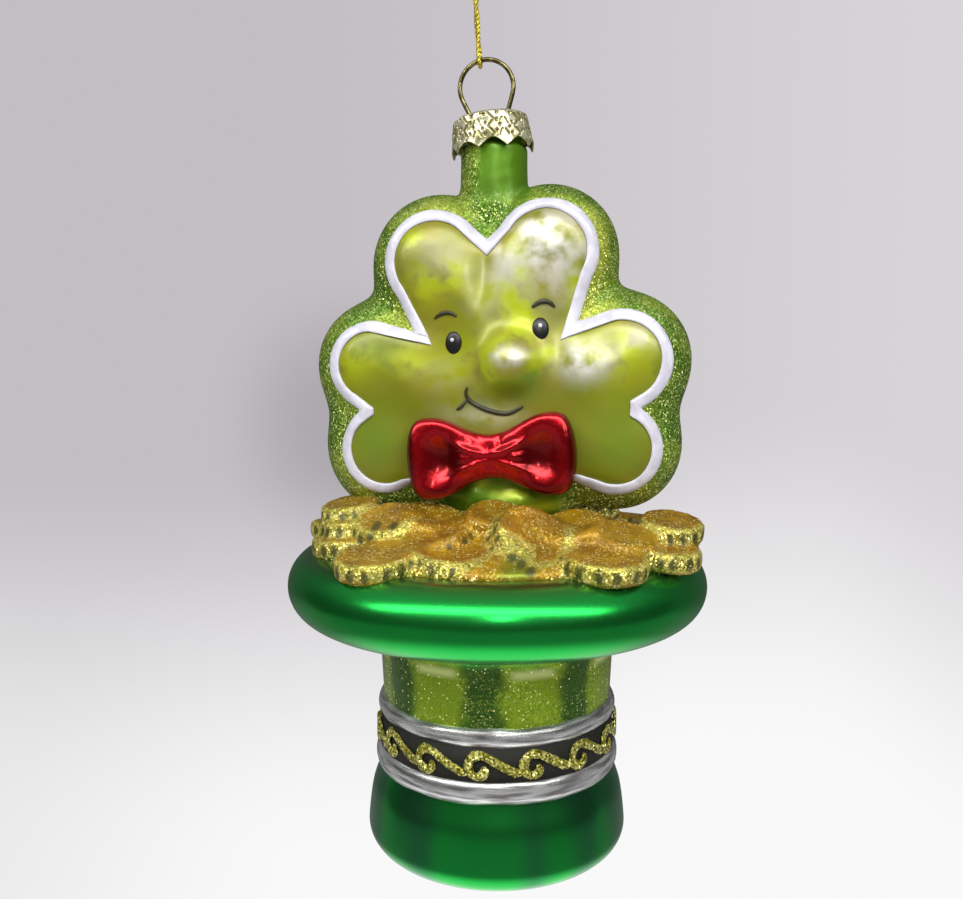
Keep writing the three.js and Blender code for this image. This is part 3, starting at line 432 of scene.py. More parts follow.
def brushed_paint(add, colour, roughness, coat, grain_mm=1.2, relief_mm=0.03):
    """One coat of paint put on by hand, a little thinner and darker in places."""
    thin = [0.8 * channel for channel in colour[:3]] + [1.0]
    colour = dappled(add, thin, colour, grain_mm, 2.0, 0.3, 0.7)
    return lacquer(add, colour, 0.0, roughness, (grain_mm, 2.0, relief_mm), coat)


def scroll_glue(add, settings):
    """Gold glitter glue run on by hand: coarse flakes in a raised bead."""
    return glitter(add, "#55500f", settings.glitter, "#f6f29a", 0.3, 1.2, 0.25, 0.2)


def stamped_metal(add, settings):
    """Stamped tinplate in champagne lacquer: bright and thin, darker in the sunk marks."""
    sunk = add("Attribute", (), "Fac", attribute_name="tone")
    colour = dappled(add, settings.metal, "#aaa474", 1.4, 3.0, 0.42, 0.62)
    # The sunk marks are painted darker.
    colour = add("Mix", {0: sunk, 6: colour, 7: "#7c7340"}, 2, **IN_COLOUR)
    return lacquer(add, colour, 0.7, 0.26, (1.2, 2.0, 0.08))


def plated_wire(add, settings):
    """Drawn spring wire plated in antique brass: dark, with bright metal where it is rubbed."""
    return lacquer(add, dappled(add, "#5d5630", settings.wire, 1.5, 2.0, 0.4, 0.65), 0.9, 0.32)


def metallic_thread(add, settings):
    """Gold foil spun round a core, which glints in short lengths."""
    colour = dappled(add, "#a8902a", settings.gold, 0.35, 2.0, 0.42, 0.62)
    return lacquer(add, colour, 0.6, 0.34, (0.2, 1.0, 0.05))


# Meshes.

def select_only(*objects):
    """Deselects all and selects these, the first one active."""
    bpy.ops.object.select_all(action="DESELECT")
    for one in objects:
        one.select_set(True)
    bpy.context.view_layer.objects.active = objects[0]


def new_piece(name, points, faces, surface, edges=()):
    """A mesh from points in millimetres."""
    mesh = bpy.data.meshes.new(name)
    mesh.from_pydata([place(*p) for p in points], list(edges), faces)
    mesh.update()
    made = bpy.data.objects.new(name, mesh)
    bpy.context.collection.objects.link(made)
    mesh.materials.append(surface)
    if faces:
        mesh.shade_smooth()
    return made


def edited(piece, *steps):
    """Runs edit mode operators one after another, each on the whole piece."""
    select_only(piece)
    bpy.ops.object.mode_set(mode="EDIT")
    for operator, settings in steps:
        bpy.ops.mesh.select_all(action="SELECT")
        operator(**settings)
    bpy.ops.object.mode_set(mode="OBJECT")
    piece.data.shade_smooth()
    return piece


def face_out(piece):
    """Turns all faces outwards."""
    return edited(piece, (bpy.ops.mesh.normals_make_consistent, {"inside": False}))


def spun(name, profile, surface, steps=180):
    """A profile of [radius, height] points spun round the hat's axis."""
    edges = [(k, k + 1) for k in range(len(profile) - 1)]
    made = new_piece(name, [(r, 0.0, z) for r, z in profile], [], surface, edges)
    return edited(made, (bpy.ops.mesh.spin, {"steps": steps, "angle": 2 * math.pi, "center": HOME,
                                             "axis": (0, 0, 1)}),
                  (bpy.ops.mesh.remove_doubles, {"threshold": 1e-6}),
                  (bpy.ops.mesh.normals_make_consistent, {"inside": False}))


def melted(pieces, size_mm, rounds):
    """Joins closed pieces into the first, melts them into one skin and eases it."""
    select_only(*pieces)
    if len(pieces) > 1:
        bpy.ops.object.join()
    whole = pieces[0]
    melt = whole.modifiers.new("melt", "REMESH")
    melt.mode = "VOXEL"
    melt.voxel_size = size_mm * MM
    melt.use_smooth_shade = True
    ease = whole.modifiers.new("ease", "SMOOTH")
    ease.factor = 0.5
    ease.iterations = rounds
    for modifier in (melt.name, ease.name):
        bpy.ops.object.modifier_apply(modifier=modifier)
    whole.data.shade_smooth()
    return whole


def keep(piece, slot, body, *nodes):
    """Puts a finished piece in the place of its solids."""
    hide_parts(*nodes)
    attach(piece, body)


def turns(count):
    """Even angles round a full turn."""
    return [2 * math.pi * k / count for k in range(count)]


def round_faces(rows, columns, ends=True):
    """Faces of a grid that runs round in its columns, with its first and last rows filled in."""
    faces = [(k * columns + j, k * columns + (j + 1) % columns, (k + 1) * columns + (j + 1) % columns,
              (k + 1) * columns + j) for k in range(rows - 1) for j in range(columns)]
    if ends:
        faces.append(tuple(reversed(range(columns))))
        faces.append(tuple((rows - 1) * columns + j for j in range(columns)))
    return faces


def joined(parts):
    """Several (points, faces) as one."""
    points, faces = [], []
    for some_points, some_faces in parts:
        faces += [tuple(len(points) + v for v in face) for face in some_faces]
        points += list(some_points)
    return points, faces


def eased(path, step):
    """A smooth path through given points, with spots about step apart."""
    path = [Vector(p) for p in path]
    spots = []
    for k in range(len(path) - 1):
        a, b = path[max(0, k - 1)], path[k]
        c, d = path[k + 1], path[min(len(path) - 1, k + 2)]
        parts = max(1, round((c - b).length / step))
        for n in range(parts):
            t = n / parts
            spots.append(0.5 * (2 * b + (c - a) * t + (2 * a - 5 * b + 4 * c - d) * t * t
                                + (3 * b - a - 3 * c + d) * t ** 3))
    return spots + [path[-1]]


def framed(path, closed=False):
    """Each spot of a path with two directions across it, which twist as little as they can."""
    path, side = [Vector(p) for p in path], None
    for k, spot in enumerate(path):
        before = path[k - 1] if closed or k else spot
        after = path[(k + 1) % len(path)] if closed or k + 1 < len(path) else spot
        along = (after - before).normalized()
        if side is None:
            side = along.orthogonal().normalized()
        side = (side - along * side.dot(along)).normalized()
        yield spot, side, along.cross(side)


def sweep(path, radius, sides, closed=False):
    """Points and faces of a round rod along a path; radius may be a function of k."""
    size = radius if callable(radius) else (lambda k: radius)
    points = [spot + side * size(k) * math.cos(turn) + up * size(k) * math.sin(turn)
              for k, (spot, side, up) in enumerate(framed(path, closed)) for turn in turns(sides)]
    faces = round_faces(len(points) // sides, sides, not closed)
    if closed:
        start = len(points) - sides
        faces += [(start + j, start + (j + 1) % sides, (j + 1) % sides, j) for j in range(sides)]
    return points, faces


def plied(path, offset, radius):
    """Points and faces of three strands twisted round a path."""
    spots = eased(path, 0.16)
    bodies = []
    for ply in range(PLIES):
        strand, run, last = [], 0.0, spots[0]
        for spot, side, up in framed(spots):
            run, last = run + (spot - last).length, spot
            turn = 2 * math.pi * (run / PITCH + ply / PLIES)
            strand.append(spot + (side * math.cos(turn) + up * math.sin(turn)) * offset)
        bodies.append(sweep(strand, radius, 8))
    return joined(bodies)


def paint_tone(piece, tone):
    """Stores red, green, blue and alpha masks at every vertex; tone takes arrays of millimetres."""
    mesh = piece.data
    flat = np.empty(3 * len(mesh.vertices))
    mesh.vertices.foreach_get("co", flat)
    x, y, z = ((flat.reshape(-1, 3) - np.array(HOME)) / MM).T
    masks = np.stack([np.broadcast_to(mask, x.shape) for mask in tone(x, y, z)], axis=1)
    layer = mesh.attributes.new("tone", "FLOAT_COLOR", "POINT")
    layer.data.foreach_set("color", masks.astype(np.float32).ravel())


def store_mask(piece, values):
    """Stores one number from 0 to 1 at every vertex."""
    piece.data.attributes.new("tone", "FLOAT", "POINT").data.foreach_set("value", values)


def soft_step(value, low, high):
    """Eases from 0 at low to 1 at high."""
    t = np.clip((value - low) / (high - low), 0.0, 1.0)
    return t * t * (3 - 2 * t)


def blots(x, z, rows):
    """Soft round patches. Each row is a strength, a place across and up, a width and a height."""
    return sum(strength * np.exp(-((x - cx) / wide) ** 2 - ((z - cz) / high) ** 2)
               for strength, cx, cz, wide, high in rows)


# Shamrock forms.

def cone_distance(x, z, lobe, grow):
    """Distance from a lobe that narrows or widens towards its root."""
    cx, cz, r, _, root_x, root_z, root_r = lobe
    dx, dz = root_x - cx, root_z - cz
    t = np.clip(((x - cx) * dx + (z - cz) * dz) / (dx * dx + dz * dz), 0.0, 1.0)
    return np.hypot(x - cx - t * dx, z - cz - t * dz) - (r + t * (root_r - r) + grow)


def line_distance(x, z):
    """Distance from the outer edge of the white line."""
    return np.min([cone_distance(x, z, lobe, 0.0) for lobe in LOBES], axis=0)


def soft_union(distances, blend):
    """The least of several distances, rounded where two of them meet."""
    return -blend * np.log(np.sum([np.exp(-d / blend) for d in distances], axis=0))


def rim_distance(x, z):
    """Distance from the shamrock's outline, with its foot in the coins."""
    foot = np.hypot(x - STEM[0], z - STEM[1]) - STEM[2]
    return soft_union([cone_distance(x, z, lobe, lobe[3]) for lobe in LOBES] + [foot], 1.7)


def reach(distance, angles, level):
    """How far from the face's centre the outline lies at each angle, found from outside inwards."""
    steps = np.arange(44.0, 1.0, -0.1)
    x = FACE_CENTRE[0] + np.outer(steps, np.cos(angles))
    z = FACE_CENTRE[1] + np.outer(steps, np.sin(angles))
    value = distance(x, z)
    first = (value <= level).argmax(axis=0)
    each = np.arange(len(angles))
    inner, outer = value[first, each], value[np.maximum(first - 1, 0), each]
    share = (level - inner) / np.maximum(outer - inner, 1e-9)
    return steps[first] + 0.1 * np.clip(share, 0.0, 1.0)


def pillow(inside):
    """The rounded swell of the rim, which levels off inside it."""
    t = np.clip(inside / RIM_ROUND, 0.0, 1.0)
    return RIM_SWELL * np.sqrt(1 - (1 - t) ** 2)


def front_height(x, z):
    """How far the face stands forward."""
    soft = soft_union([cone_distance(x, z, lobe, 0.0) for lobe in LOBES], 3.5)
    crown = 2.6 * (1 - np.exp(-np.maximum(0.0, -soft - LINE_WIDTH) / 5.0))
    nose = NOSE[3] * np.exp(-(np.hypot(x - NOSE[0], z - NOSE[1]) / NOSE[2]) ** 2.8)
    relief = blots(x, z, FACE_RELIEF) + nose
    return pillow(-rim_distance(x, z)) + crown + relief


def back_height(x, z):
    """How far the plain back stands out."""
    inside = np.maximum(0.0, -rim_distance(x, z) - RIM_ROUND)
    return pillow(-rim_distance(x, z)) + 2.0 * (1 - np.exp(-inside / RIM_ROUND))


def on_face(x, z, lift):
    """Points that stand lift in front of the face."""
    height = front_height(np.asarray(x, float), np.asarray(z, float))
    return np.stack([x, -height - lift, z], axis=-1)


def leaf_grid():
    """Points and faces of the shamrock's pillow."""
    around = 300
    angles = 2 * np.pi * np.arange(around) / around
    edge = reach(rim_distance, angles, 0.0)
    points = [(FACE_CENTRE[0] + r * math.cos(a), 0.0, FACE_CENTRE[1] + r * math.sin(a))
              for a, r in zip(angles, edge)]
    faces = []
    for rings, gather, side in ((64, 1.45, -1), (40, 1.1, 1)):
        height = front_height if side < 0 else back_height
        middle = len(points)
        centre = np.array(FACE_CENTRE)
        points.append((centre[0], side * float(height(centre[:1], centre[1:])[0]), centre[1]))
        for k in range(1, rings):
            share = math.sin(math.pi / 2 * (k / rings) ** gather)
            r = share * (25.0 * (1 - share) + edge * share)
            x, z = centre[0] + r * np.cos(angles), centre[1] + r * np.sin(angles)
            points += list(zip(x, side * height(x, z), z))
        start = middle + 1
        for i in range(around):
            n = (i + 1) % around
            faces.append((middle, start + i, start + n))
            for k in range(rings - 2):
                a, b = start + k * around, start + (k + 1) * around
                faces.append((a + i, b + i, b + n, a + n))
            last = start + (rings - 2) * around
            faces.append((last + i, i, n, last + n))
    return points, faces


def neck(surface):
    """The neck: a disc drawn up and resized step by step, from its flared root to its rim."""
    low, wide, deep = NECK_SECTIONS[0]
    bpy.ops.object.select_all(action="DESELECT")
    bpy.ops.mesh.primitive_circle_add(vertices=64, radius=MM, fill_type="NGON",
                                      location=place(NECK_X, 0, low))
    made = bpy.context.object
    made.scale = (wide, deep, 1.0)
    bpy.ops.object.transform_apply(location=True, rotation=True, scale=True)
    made.data.materials.append(surface)
    bpy.ops.object.mode_set(mode="EDIT")
    bpy.ops.mesh.select_all(action="SELECT")
    for z, next_wide, next_deep in NECK_SECTIONS[1:]:
        bpy.ops.mesh.extrude_region_move(TRANSFORM_OT_translate={"value": (0, 0, (z - low) * MM)})
        bpy.ops.transform.resize(value=(next_wide / wide, next_deep / deep, 1.0),
                                 center_override=place(NECK_X, 0, z))
        low, wide, deep = z, next_wide, next_deep
    bpy.ops.object.mode_set(mode="OBJECT")
    return face_out(made)


def face_tone(x, y, z):
    """Masks of the shamrock: on the face pearl with painted highlights, painted shade and yellow, elsewhere
    gloss, deep and gold with painted highlights.
    """
    nose_edge = np.exp(-((np.hypot(x - NOSE[0], z - NOSE[1]) - 3.6) / 1.2) ** 2)
    below = np.clip((0.3 * (x - NOSE[0]) - (z - NOSE[1]) - 0.2) / 2.2, 0, 1)
    front = (y < 0).astype(float)
    outside = line_distance(x, z)
    face = soft_step(-outside, 0.6, 1.0) * front
    # The neck is clear of glitter on its right, and so are the lumps under the bow.
    gloss = soft_step(z, 51.5, 53.5) * soft_step(x, -3.0, -1.6) * soft_step(x, 6.4, 5.0) * front
    gloss = np.maximum(gloss, soft_step(10.5 - np.hypot(x - 1.4, (z - 8.5) * 1.3), 0.0, 2.0) * front)
    gloss = gloss * (1 - 0.75 * soft_step(z, 57.0, 53.0) * (z > 40))
    # Painted highlights on the lumps under the bow, carried by the gold mask.
    lump_highlight = blots(x, z, LUMP_HIGHLIGHTS)
    deep = soft_step(z, 62.0, 52.0) * 0.5 - lump_highlight
    by_line = np.exp(-((outside - 0.5) / 1.3) ** 2) * soft_step(y, -3.0, -5.0)
    gold = np.maximum(by_line * blots(x, z, GOLD_BY_LINE), lump_highlight * front)
    # Painted shade in a crescent under the nose, and a painted highlight ring in yellow over it.
    masks = ((gloss, blots(x, z, PEARL_AND_HIGHLIGHTS)), (deep, blots(x, z, SHADE) + 1.3 * nose_edge * below),
             (gold, blots(x, z, YELLOW) + 0.9 * nose_edge * (1 - below)))
    return [np.clip(np.where(face < 0.5, rim, inside), 0, 1) for rim, inside in masks] + [face]


def outline_strip():
    """Points and faces of the raised white line, its width as uneven as a hand leaves it."""
    angles = np.radians(np.linspace(-63.0, 229.5, 620))
    outer, inner = reach(line_distance, angles, 0.0), reach(line_distance, angles, -LINE_WIDTH)
    wander = np.array([noise.noise(Vector((k * 0.035, 3.1, 0.0))) for k in range(len(angles))])
    middle, half = (outer + inner) / 2, (outer - inner) / 2 * (1 + 0.16 * wander)
    ends = np.sqrt(np.clip(np.minimum(np.arange(len(angles)), np.arange(len(angles))[::-1]) / 8, 0.02, 1))
    columns = [(-1.0, -0.35), (-0.97, 0.3), (-0.78, 0.68), (-0.4, 0.92), (0.0, 1.0), (0.4, 0.92),
               (0.78, 0.68), (0.97, 0.3), (1.0, -0.35)]
    rows = []
    for across, high in columns:
        r = middle + half * across * ends
        x, z = FACE_CENTRE[0] + r * np.cos(angles), FACE_CENTRE[1] + r * np.sin(angles)
        rows.append(on_face(x, z, 0.55 * high * ends + 0.02))
    grid = np.stack(rows, axis=1)
    count, wide = grid.shape[:2]
    points = grid.reshape(-1, 3).tolist()
    faces = [(k * wide + j, (k + 1) * wide + j, (k + 1) * wide + (j + 1) % wide, k * wide + (j + 1) % wide)
             for k in range(count - 1) for j in range(wide)]
    faces += [tuple(range(wide)), tuple((count - 1) * wide + j for j in reversed(range(wide)))]
    return points, faces


def face_normal(x, z):
    """Which way the face looks at a place."""
    step = 0.4
    at = lambda dx, dz: float(front_height(np.array([x + dx]), np.array([z + dz]))[0])
    return Vector((-(at(step, 0) - at(-step, 0)) / (2 * step), -1.0,
                   -(at(0, step) - at(0, -step)) / (2 * step))).normalized()


def paint_drop(name, x, z, wide, high, coat, lift, surface):
    """A drop of paint: a flattened ball that lies on the face."""
    out = face_normal(x, z)
    centre = Vector(on_face([x], [z], 0.0)[0]) + out * lift
    bpy.ops.object.select_all(action="DESELECT")
    bpy.ops.mesh.primitive_uv_sphere_add(segments=32, ring_count=18, radius=0.5 * MM,
                                         location=place(*centre))
    made = bpy.context.object
    made.name = name
    made.scale = (wide, high, 2 * coat)
    made.rotation_mode = "QUATERNION"
    side = Vector((0, 0, 1)).cross(out).normalized()
    basis = Matrix((side, out.cross(side), out)).transposed()
    made.rotation_quaternion = basis.to_quaternion()
    bpy.ops.object.transform_apply(location=True, rotation=True, scale=True)
    made.data.materials.append(surface)
    made.data.shade_smooth()
    return made


def paint_stroke(name, spots, width, surface):
    """A brush stroke: thin at its ends, flat on the face."""
    path = eased([(x, 0.0, z) for x, z in spots], 0.18)
    path = [Vector(on_face([p.x], [p.z], STROKE_LIFT)[0]) for p in path]
    last = len(path) - 1
    size = lambda k: 0.5 * width * (0.35 + 0.65 * math.sin(math.pi * min(1, max(0, k / last))) ** 0.6)
    return new_piece(name, *sweep(path, size, 10), surface)


# Hat, coins and bow tie.

def arc(centre_r, centre_z, radius_r, radius_z, start, end, steps):
    """Part of an ellipse as [radius, height] points, its ends in degrees."""
    spots = []
    for k in range(steps + 1):
        turn = math.radians(start + (end - start) * k / steps)
        spots.append((centre_r + radius_r * math.cos(turn), centre_z + radius_z * math.sin(turn)))
    return spots


def hat_profile():
    """From the axis under the flat base, up the crown, under the brim and over its roll."""
    base = -BRIM_TOP
    side = [(21.35, base + 4.6), (21.05, base + 7.4), (20.6, base + 10.0), (19.8, base + 12.4),
            (19.25, base + 14.2), (19.1, base + 16.0), (18.9, base + 19.65), (18.7, base + 23.8),
            (18.85, base + 27.0), (19.0, base + 30.0), (19.15, base + 32.8), (19.5, base + 35.0),
            (20.3, base + 36.7), (21.5, base + 37.7), (24.0, base + 38.35)]
    side = [(p.x, p.z) for p in eased([(r, 0.0, z) for r, z in side], 0.6)]
    return [(0.0, base), (8.0, base), *arc(17.6, base + 3.8, 3.8, 3.8, -90, 0, 14),
            *side, *arc(28.5, -5.5, 5.5, 5.5, -95, 90, 30), (25.0, 0.0), (20.0, -0.6)]


def coin_lean(lean_x, lean_y):
    """How a coin is turned, from its leans in degrees."""
    return Matrix.Rotation(math.radians(lean_y), 4, "Y") @ Matrix.Rotation(math.radians(lean_x), 4, "X")


def coin(surface, x, y, z, radius, lean_x, lean_y):
    """One coin, dished on top and rounded at its edge, spun upright and then leaned in its place."""
    half = COIN_THICK / 2
    profile = [(0.0, -half), (radius - 0.6, -half), (radius, -half + 0.6), (radius, half - 0.6),
               (radius - 0.25, half - 0.1), (radius - 0.8, half), (radius - 1.5, half - 0.35),
               (0.0, half - 0.45)]
    made = spun("coin", profile, surface, 48)
    made.data.transform(Matrix.Translation(place(x, y, z)) @ coin_lean(lean_x, lean_y)
                        @ Matrix.Translation(-HOME))
    return made


def tick_spots():
    """Where dark ticks are brushed across the coins' edges."""
    spots = []
    picker = random.Random(11)
    for x, y, z, radius, lean_x, lean_y in COINS + SUNK_COINS[:2]:
        lean = coin_lean(lean_x, lean_y)
        start = picker.uniform(0, 24)
        for k in range(15):
            angle = math.radians(start + 24 * k + picker.uniform(-5, 5))
            edge = Vector((radius * math.cos(angle), radius * math.sin(angle), 0.0))
            spots.append(Vector((x, y, z)) + lean @ edge)
    return spots


def coin_tone(x, y, z):
    """Dark ticks, how much of a coin's edge and not its top, and the green valley."""
    front = y < -10
    tick = np.zeros_like(x)
    for spot in tick_spots():
        flat = np.hypot(x - spot.x, y - spot.y) / 0.55
        tick = np.maximum(tick, soft_step(1.35 - np.hypot(flat, (z - spot.z) / 0.95), 0.0, 0.5))
    edge = np.zeros_like(x)
    for cx, cy, cz, radius, _, _ in COINS + SUNK_COINS[:1]:
        ring = np.abs(np.hypot(x - cx, y - cy) - radius)
        edge = np.maximum(edge, soft_step(1.2 - ring, 0.0, 0.8) * soft_step(1.9 - np.abs(z - cz), 0.0, 0.8))
    for dot_x, dot_z in LOOSE_TICKS:
        tick = np.maximum(tick, soft_step(1.0 - np.hypot(x - dot_x, (z - dot_z) / 0.8), 0.0, 0.6) * front)
    # The leaning coin in the middle has a pale edge.
    along = np.clip((x - 1.9) / 6.3, 0, 1)
    slant = np.abs(z - 6.3 + 3.5 * along) + 2 * np.abs(x - 1.9 - 6.3 * along)
    edge = np.maximum(edge, soft_step(1.3 - slant, 0.0, 0.7) * front)
    valley = blots(x, z, [(1.0, 6.2, 1.0, 2.6, 1.6)]) * front
    return tick * 0.85, edge, valley, np.ones_like(x)


def bow_grid():
    """Points, faces and painted shade of the bow tie: two dished wings with raised rims, pinched in the
    middle.
    """
    rows, columns = 150, 96
    centre_x, centre_z, tilt = BOW
    back = float(front_height(np.array([centre_x]), np.array([centre_z]))[0]) - 1.2
    points, painted_shade_share = [], []
    for i in range(rows + 1):
        t = -math.cos(math.pi * i / rows)
        out = abs(t)
        wing = math.sin(min(1.0, out / 0.7) * math.pi / 2)
        end = math.sqrt(max(0.0, 1 - max(0.0, (out - 0.7) / 0.3) ** 3.5))
        high = (3.4 + 3.0 * wing * wing) * max(0.02, end)
        for turn in turns(columns):
            s, front = math.sin(turn), math.cos(turn)
            x, z = BOW_HALF_WIDTH * t, high * s
            rise = 1.2 + 1.2 * front
            if front >= 0:
                stand = (2.4 + 0.9 * wing) * max(0.05, end) ** 0.6 * front ** 0.4
                # Each wing is sunk between four raised edges, and folds run from the pinch to its corners.
                sunk = 2.1 * math.exp(-abs((out - 0.59) / 0.2) ** 2.4 - abs(s / 0.58) ** 2.4)
                ray = 0.14 + 0.7 * out
                fold = 0.55 * math.exp(-((abs(s) - ray) / 0.13) ** 2) * math.exp(-((out - 0.26) / 0.2) ** 2)
                fold += 0.45 * math.exp(-(s / 0.16) ** 2) * math.exp(-((out - 0.30) / 0.13) ** 2)
                fold -= 0.5 * math.exp(-((out - 0.11) / 0.05) ** 2) * abs(s)
                fold += 0.25 * math.exp(-((out - 0.90) / 0.05) ** 2) * front
                crease = 0.16 * noise.noise(Vector((3.0 * t, 1.6 * s, 5.0)))
                rise = 1.2 + stand + (fold + crease - sunk) * min(1.0, 1.6 * front)
            points.append((centre_x + x * math.cos(tilt) - z * math.sin(tilt), -(back + rise),
                           centre_z + x * math.sin(tilt) + z * math.cos(tilt)))
            # Painted shade: darker in the wing dishes, at the wing ends and along the underside.
            painted_pool = 1.05 * math.exp(-abs((out - 0.52) / 0.25) ** 3 - abs(s / 0.5) ** 3)
            painted_pool = max(painted_pool, 0.8 * min(1.0, max(0.0, (out - 0.84) / 0.05)),
                       min(0.9, max(0.0, -s - 0.62) * 6))
            painted_shade_share.append(min(1.0, 0.66 * painted_pool))
    return points, round_faces(rows + 1, columns), painted_shade_share


# Band.

def wall_at(z):
    """Radius of the crown under the band at a height."""
    return 18.9 - 0.05 * (z - BAND_MIDDLE)


def uneven_ring(piece, seed):
    """Lets a painted ring wander up and down as a brushed line does."""
    for vertex in piece.data.vertices:
        flat = vertex.co - HOME
        turn = math.atan2(flat.y, flat.x)
        drift = noise.noise(Vector((4 * math.cos(turn), 4 * math.sin(turn), seed + flat.z * 300)))
        vertex.co.z += BRUSH_DRIFT * MM * drift
    return piece


def glue_bead(spots, radius, seed):
    """Points and faces of a low bead of glue along [across, up] spots on the band, at an even radius."""
    points, sides, last = [], 10, len(spots) - 1
    for k, spot in enumerate(spots):
        along = (spots[min(last, k + 1)] - spots[max(0, k - 1)]).normalized()
        end = min(1.0, (min(k, last - k) + 0.5) / 4) ** 0.5
        wide = 0.72 * end * (1 + 0.3 * noise.noise(Vector((k * 0.16, seed, 0))))
        for turn in turns(sides):
            side, lift = wide * math.cos(turn), 0.34 * end * math.sin(turn)
            angle = (spot.x - along.z * side) / radius
            points.append(((radius + lift) * math.sin(angle), -(radius + lift) * math.cos(angle),
                           STRIPE_MIDDLE + spot.z + along.x * side))
    return points, round_faces(len(spots), sides)


def scroll_bodies(repeats, start):
    """Points and faces of the running scroll, each repeat a little unlike the others."""
    radius = wall_at(STRIPE_MIDDLE) + 0.75
    picker = random.Random(5)
    bodies = []
    for k in range(repeats):
        across, up = picker.uniform(-0.2, 0.2), picker.uniform(-0.12, 0.12)
        home = radius * (start + 2 * math.pi * k / repeats)
        route = [(home + x + across * (abs(x) < 3), 0.0, z + up) for x, z in SCROLL_MOTIF]
        bodies.append(glue_bead(eased(route, 0.3), radius, k))
    return joined(bodies)


# Cap, wire and thread.

def leaned(x, above, y=0.0):
    """A point of the cap or the ring: x across and a height above the cap's top."""
    height = 1.3 + above
    return Vector((CAP_PIVOT[0] + x * math.cos(CAP_LEAN) - height * math.sin(CAP_LEAN), y,
                   CAP_PIVOT[1] + x * math.sin(CAP_LEAN) + height * math.cos(CAP_LEAN)))


def cap_marks(turn, down):
    """How deep the stamped marks are at a place on the cap's side, from 0 to 1."""
    column = ((turn - CAP_TURN) / (2 * math.pi) * SCALLOPS) % 1 * 4.5
    # Every panel has a zigzag down its middle, with dots in its bays and a short bar by its edge.
    bend = 2.25 + 0.5 * (2 * abs((down / 1.1 + 0.3) % 2 - 1) - 1)
    zigzag = max(0.0, 1 - abs(column - bend) / 0.26) * (0.5 < down < 4.6)
    dots = 0.0
    for dot_x, dot_z in CAP_DOTS:
        dots = max(dots, 1 - math.hypot(column - dot_x, down - dot_z) / 0.34)
    slant = min(abs(column - 0.1 - 0.5 * (down % 1.7)), abs(column - 4.1 + 0.5 * (down % 1.7)))
    bar = max(0.0, 1 - slant / 0.2) * (0.6 < down < 4.4) * (down % 1.7 < 1.1)
    return max(min(1.0, 1.5 * zigzag), min(1.0, 1.8 * max(0.0, dots)), bar)


def cap_grid():
    """Points, faces and mark depths of the cap: flat top, rounded corner, stamped and scalloped side."""
    around, rows_top, rows_side = 540, 10, 44
    points, depth = [], []
    for k in range(rows_top):
        r = 0.02 + (CAP_TOP - 0.5) * k / rows_top
        for turn in turns(around):
            points.append(leaned(r * math.cos(turn), 0.0, r * math.sin(turn)))
            depth.append(0.0)
    for k in range(rows_side):
        share = k / (rows_side - 1)
        for turn in turns(around):
            # Round arches between pointed teeth.
            low = 4.6 + 1.3 * (1 - abs(math.sin(SCALLOPS * (turn - CAP_TURN) / 2))) ** 0.9
            low += 0.25 * noise.noise(Vector((2 * math.cos(turn), 2 * math.sin(turn), 4)))
            down = low * share
            corner = min(1.0, down / 0.7)
            sink = cap_marks(turn, down) * corner
            r = CAP_TOP - 0.5 + 0.5 * math.sin(corner * math.pi / 2) + (CAP_SKIRT - CAP_TOP) * share
            dent = noise.noise(Vector((3 * math.cos(turn), 3 * math.sin(turn), down * 0.5)))
            r += -0.22 * sink + 0.2 * dent
            points.append(leaned(r * math.cos(turn), 0.3 * (1 - math.cos(corner * math.pi / 2)) - down,
                                 r * math.sin(turn)))
            depth.append(sink)
    # The inner side of the sheet runs back up from the scallops.
    for k in reversed(range(rows_side)):
        for j, turn in enumerate(turns(around)):
            radial = leaned(math.cos(turn), 0.0, math.sin(turn)) - leaned(0.0, 0.0)
            points.append(points[(rows_top + k) * around + j] - radial * CAP_SHEET)
            depth.append(0.0)
    faces = round_faces(rows_top + 2 * rows_side, around, False)
    faces.append(tuple(reversed(range(around))))
    return points, faces, depth


def wire_route():
    """The spring wire: up one leg, round the ring and down the other."""
    def leg(side):
        in_neck = [Vector((-0.5 + side * (3.33 - inward), 0.0, 55.1 + up)) for inward, up in
                   ((0, 0), (0, 3), (0.3, 6))]
        return in_neck + [leaned(side * 2.95, h) for h in (-3.2, -1.6, -0.2)] + [leaned(side * 3.07, 0.9)]

    ring = []
    for k in range(13):
        turn = math.radians(200 - 220 * k / 12)
        ring.append(leaned(RING_RADIUS * math.cos(turn), RING_UP + RING_RADIUS * math.sin(turn)))
    return leg(-1) + ring + leg(1)[::-1]


def along_thread(across, depth, up):
    """A point of the thread in millimetres, measured from where it turns on the ring."""
    up -= THREAD_UP
    home = HOME / MM
    return Vector((across * math.cos(THREAD_LEAN) - up * math.sin(THREAD_LEAN) - home.x, depth,
                   across * math.sin(THREAD_LEAN) + up * math.cos(THREAD_LEAN) - home.z))


# Settings.

def colour_property(name, description, code):
    return bpy.props.FloatVectorProperty(name=name, description=description, subtype="COLOR", size=4,
                                         min=0.0, max=1.0, default=linear(code))


def share_property(name, description, default):
    return bpy.props.FloatProperty(name=name, description=description, default=default, min=0.0, max=1.0,
                                   subtype="FACTOR")


def length_property(name, description, default_mm):
    return bpy.props.FloatProperty(name=name, description=description, default=default_mm * MM,
                                   min=0.1 * MM, unit="LENGTH")


class HatSettings(bpy.types.PropertyGroup):
    green: colour_property("Green", "Colour of the satin lacquer", "#1aa640")
    satin: share_property("Satin", "How soft its reflections are", 0.26)


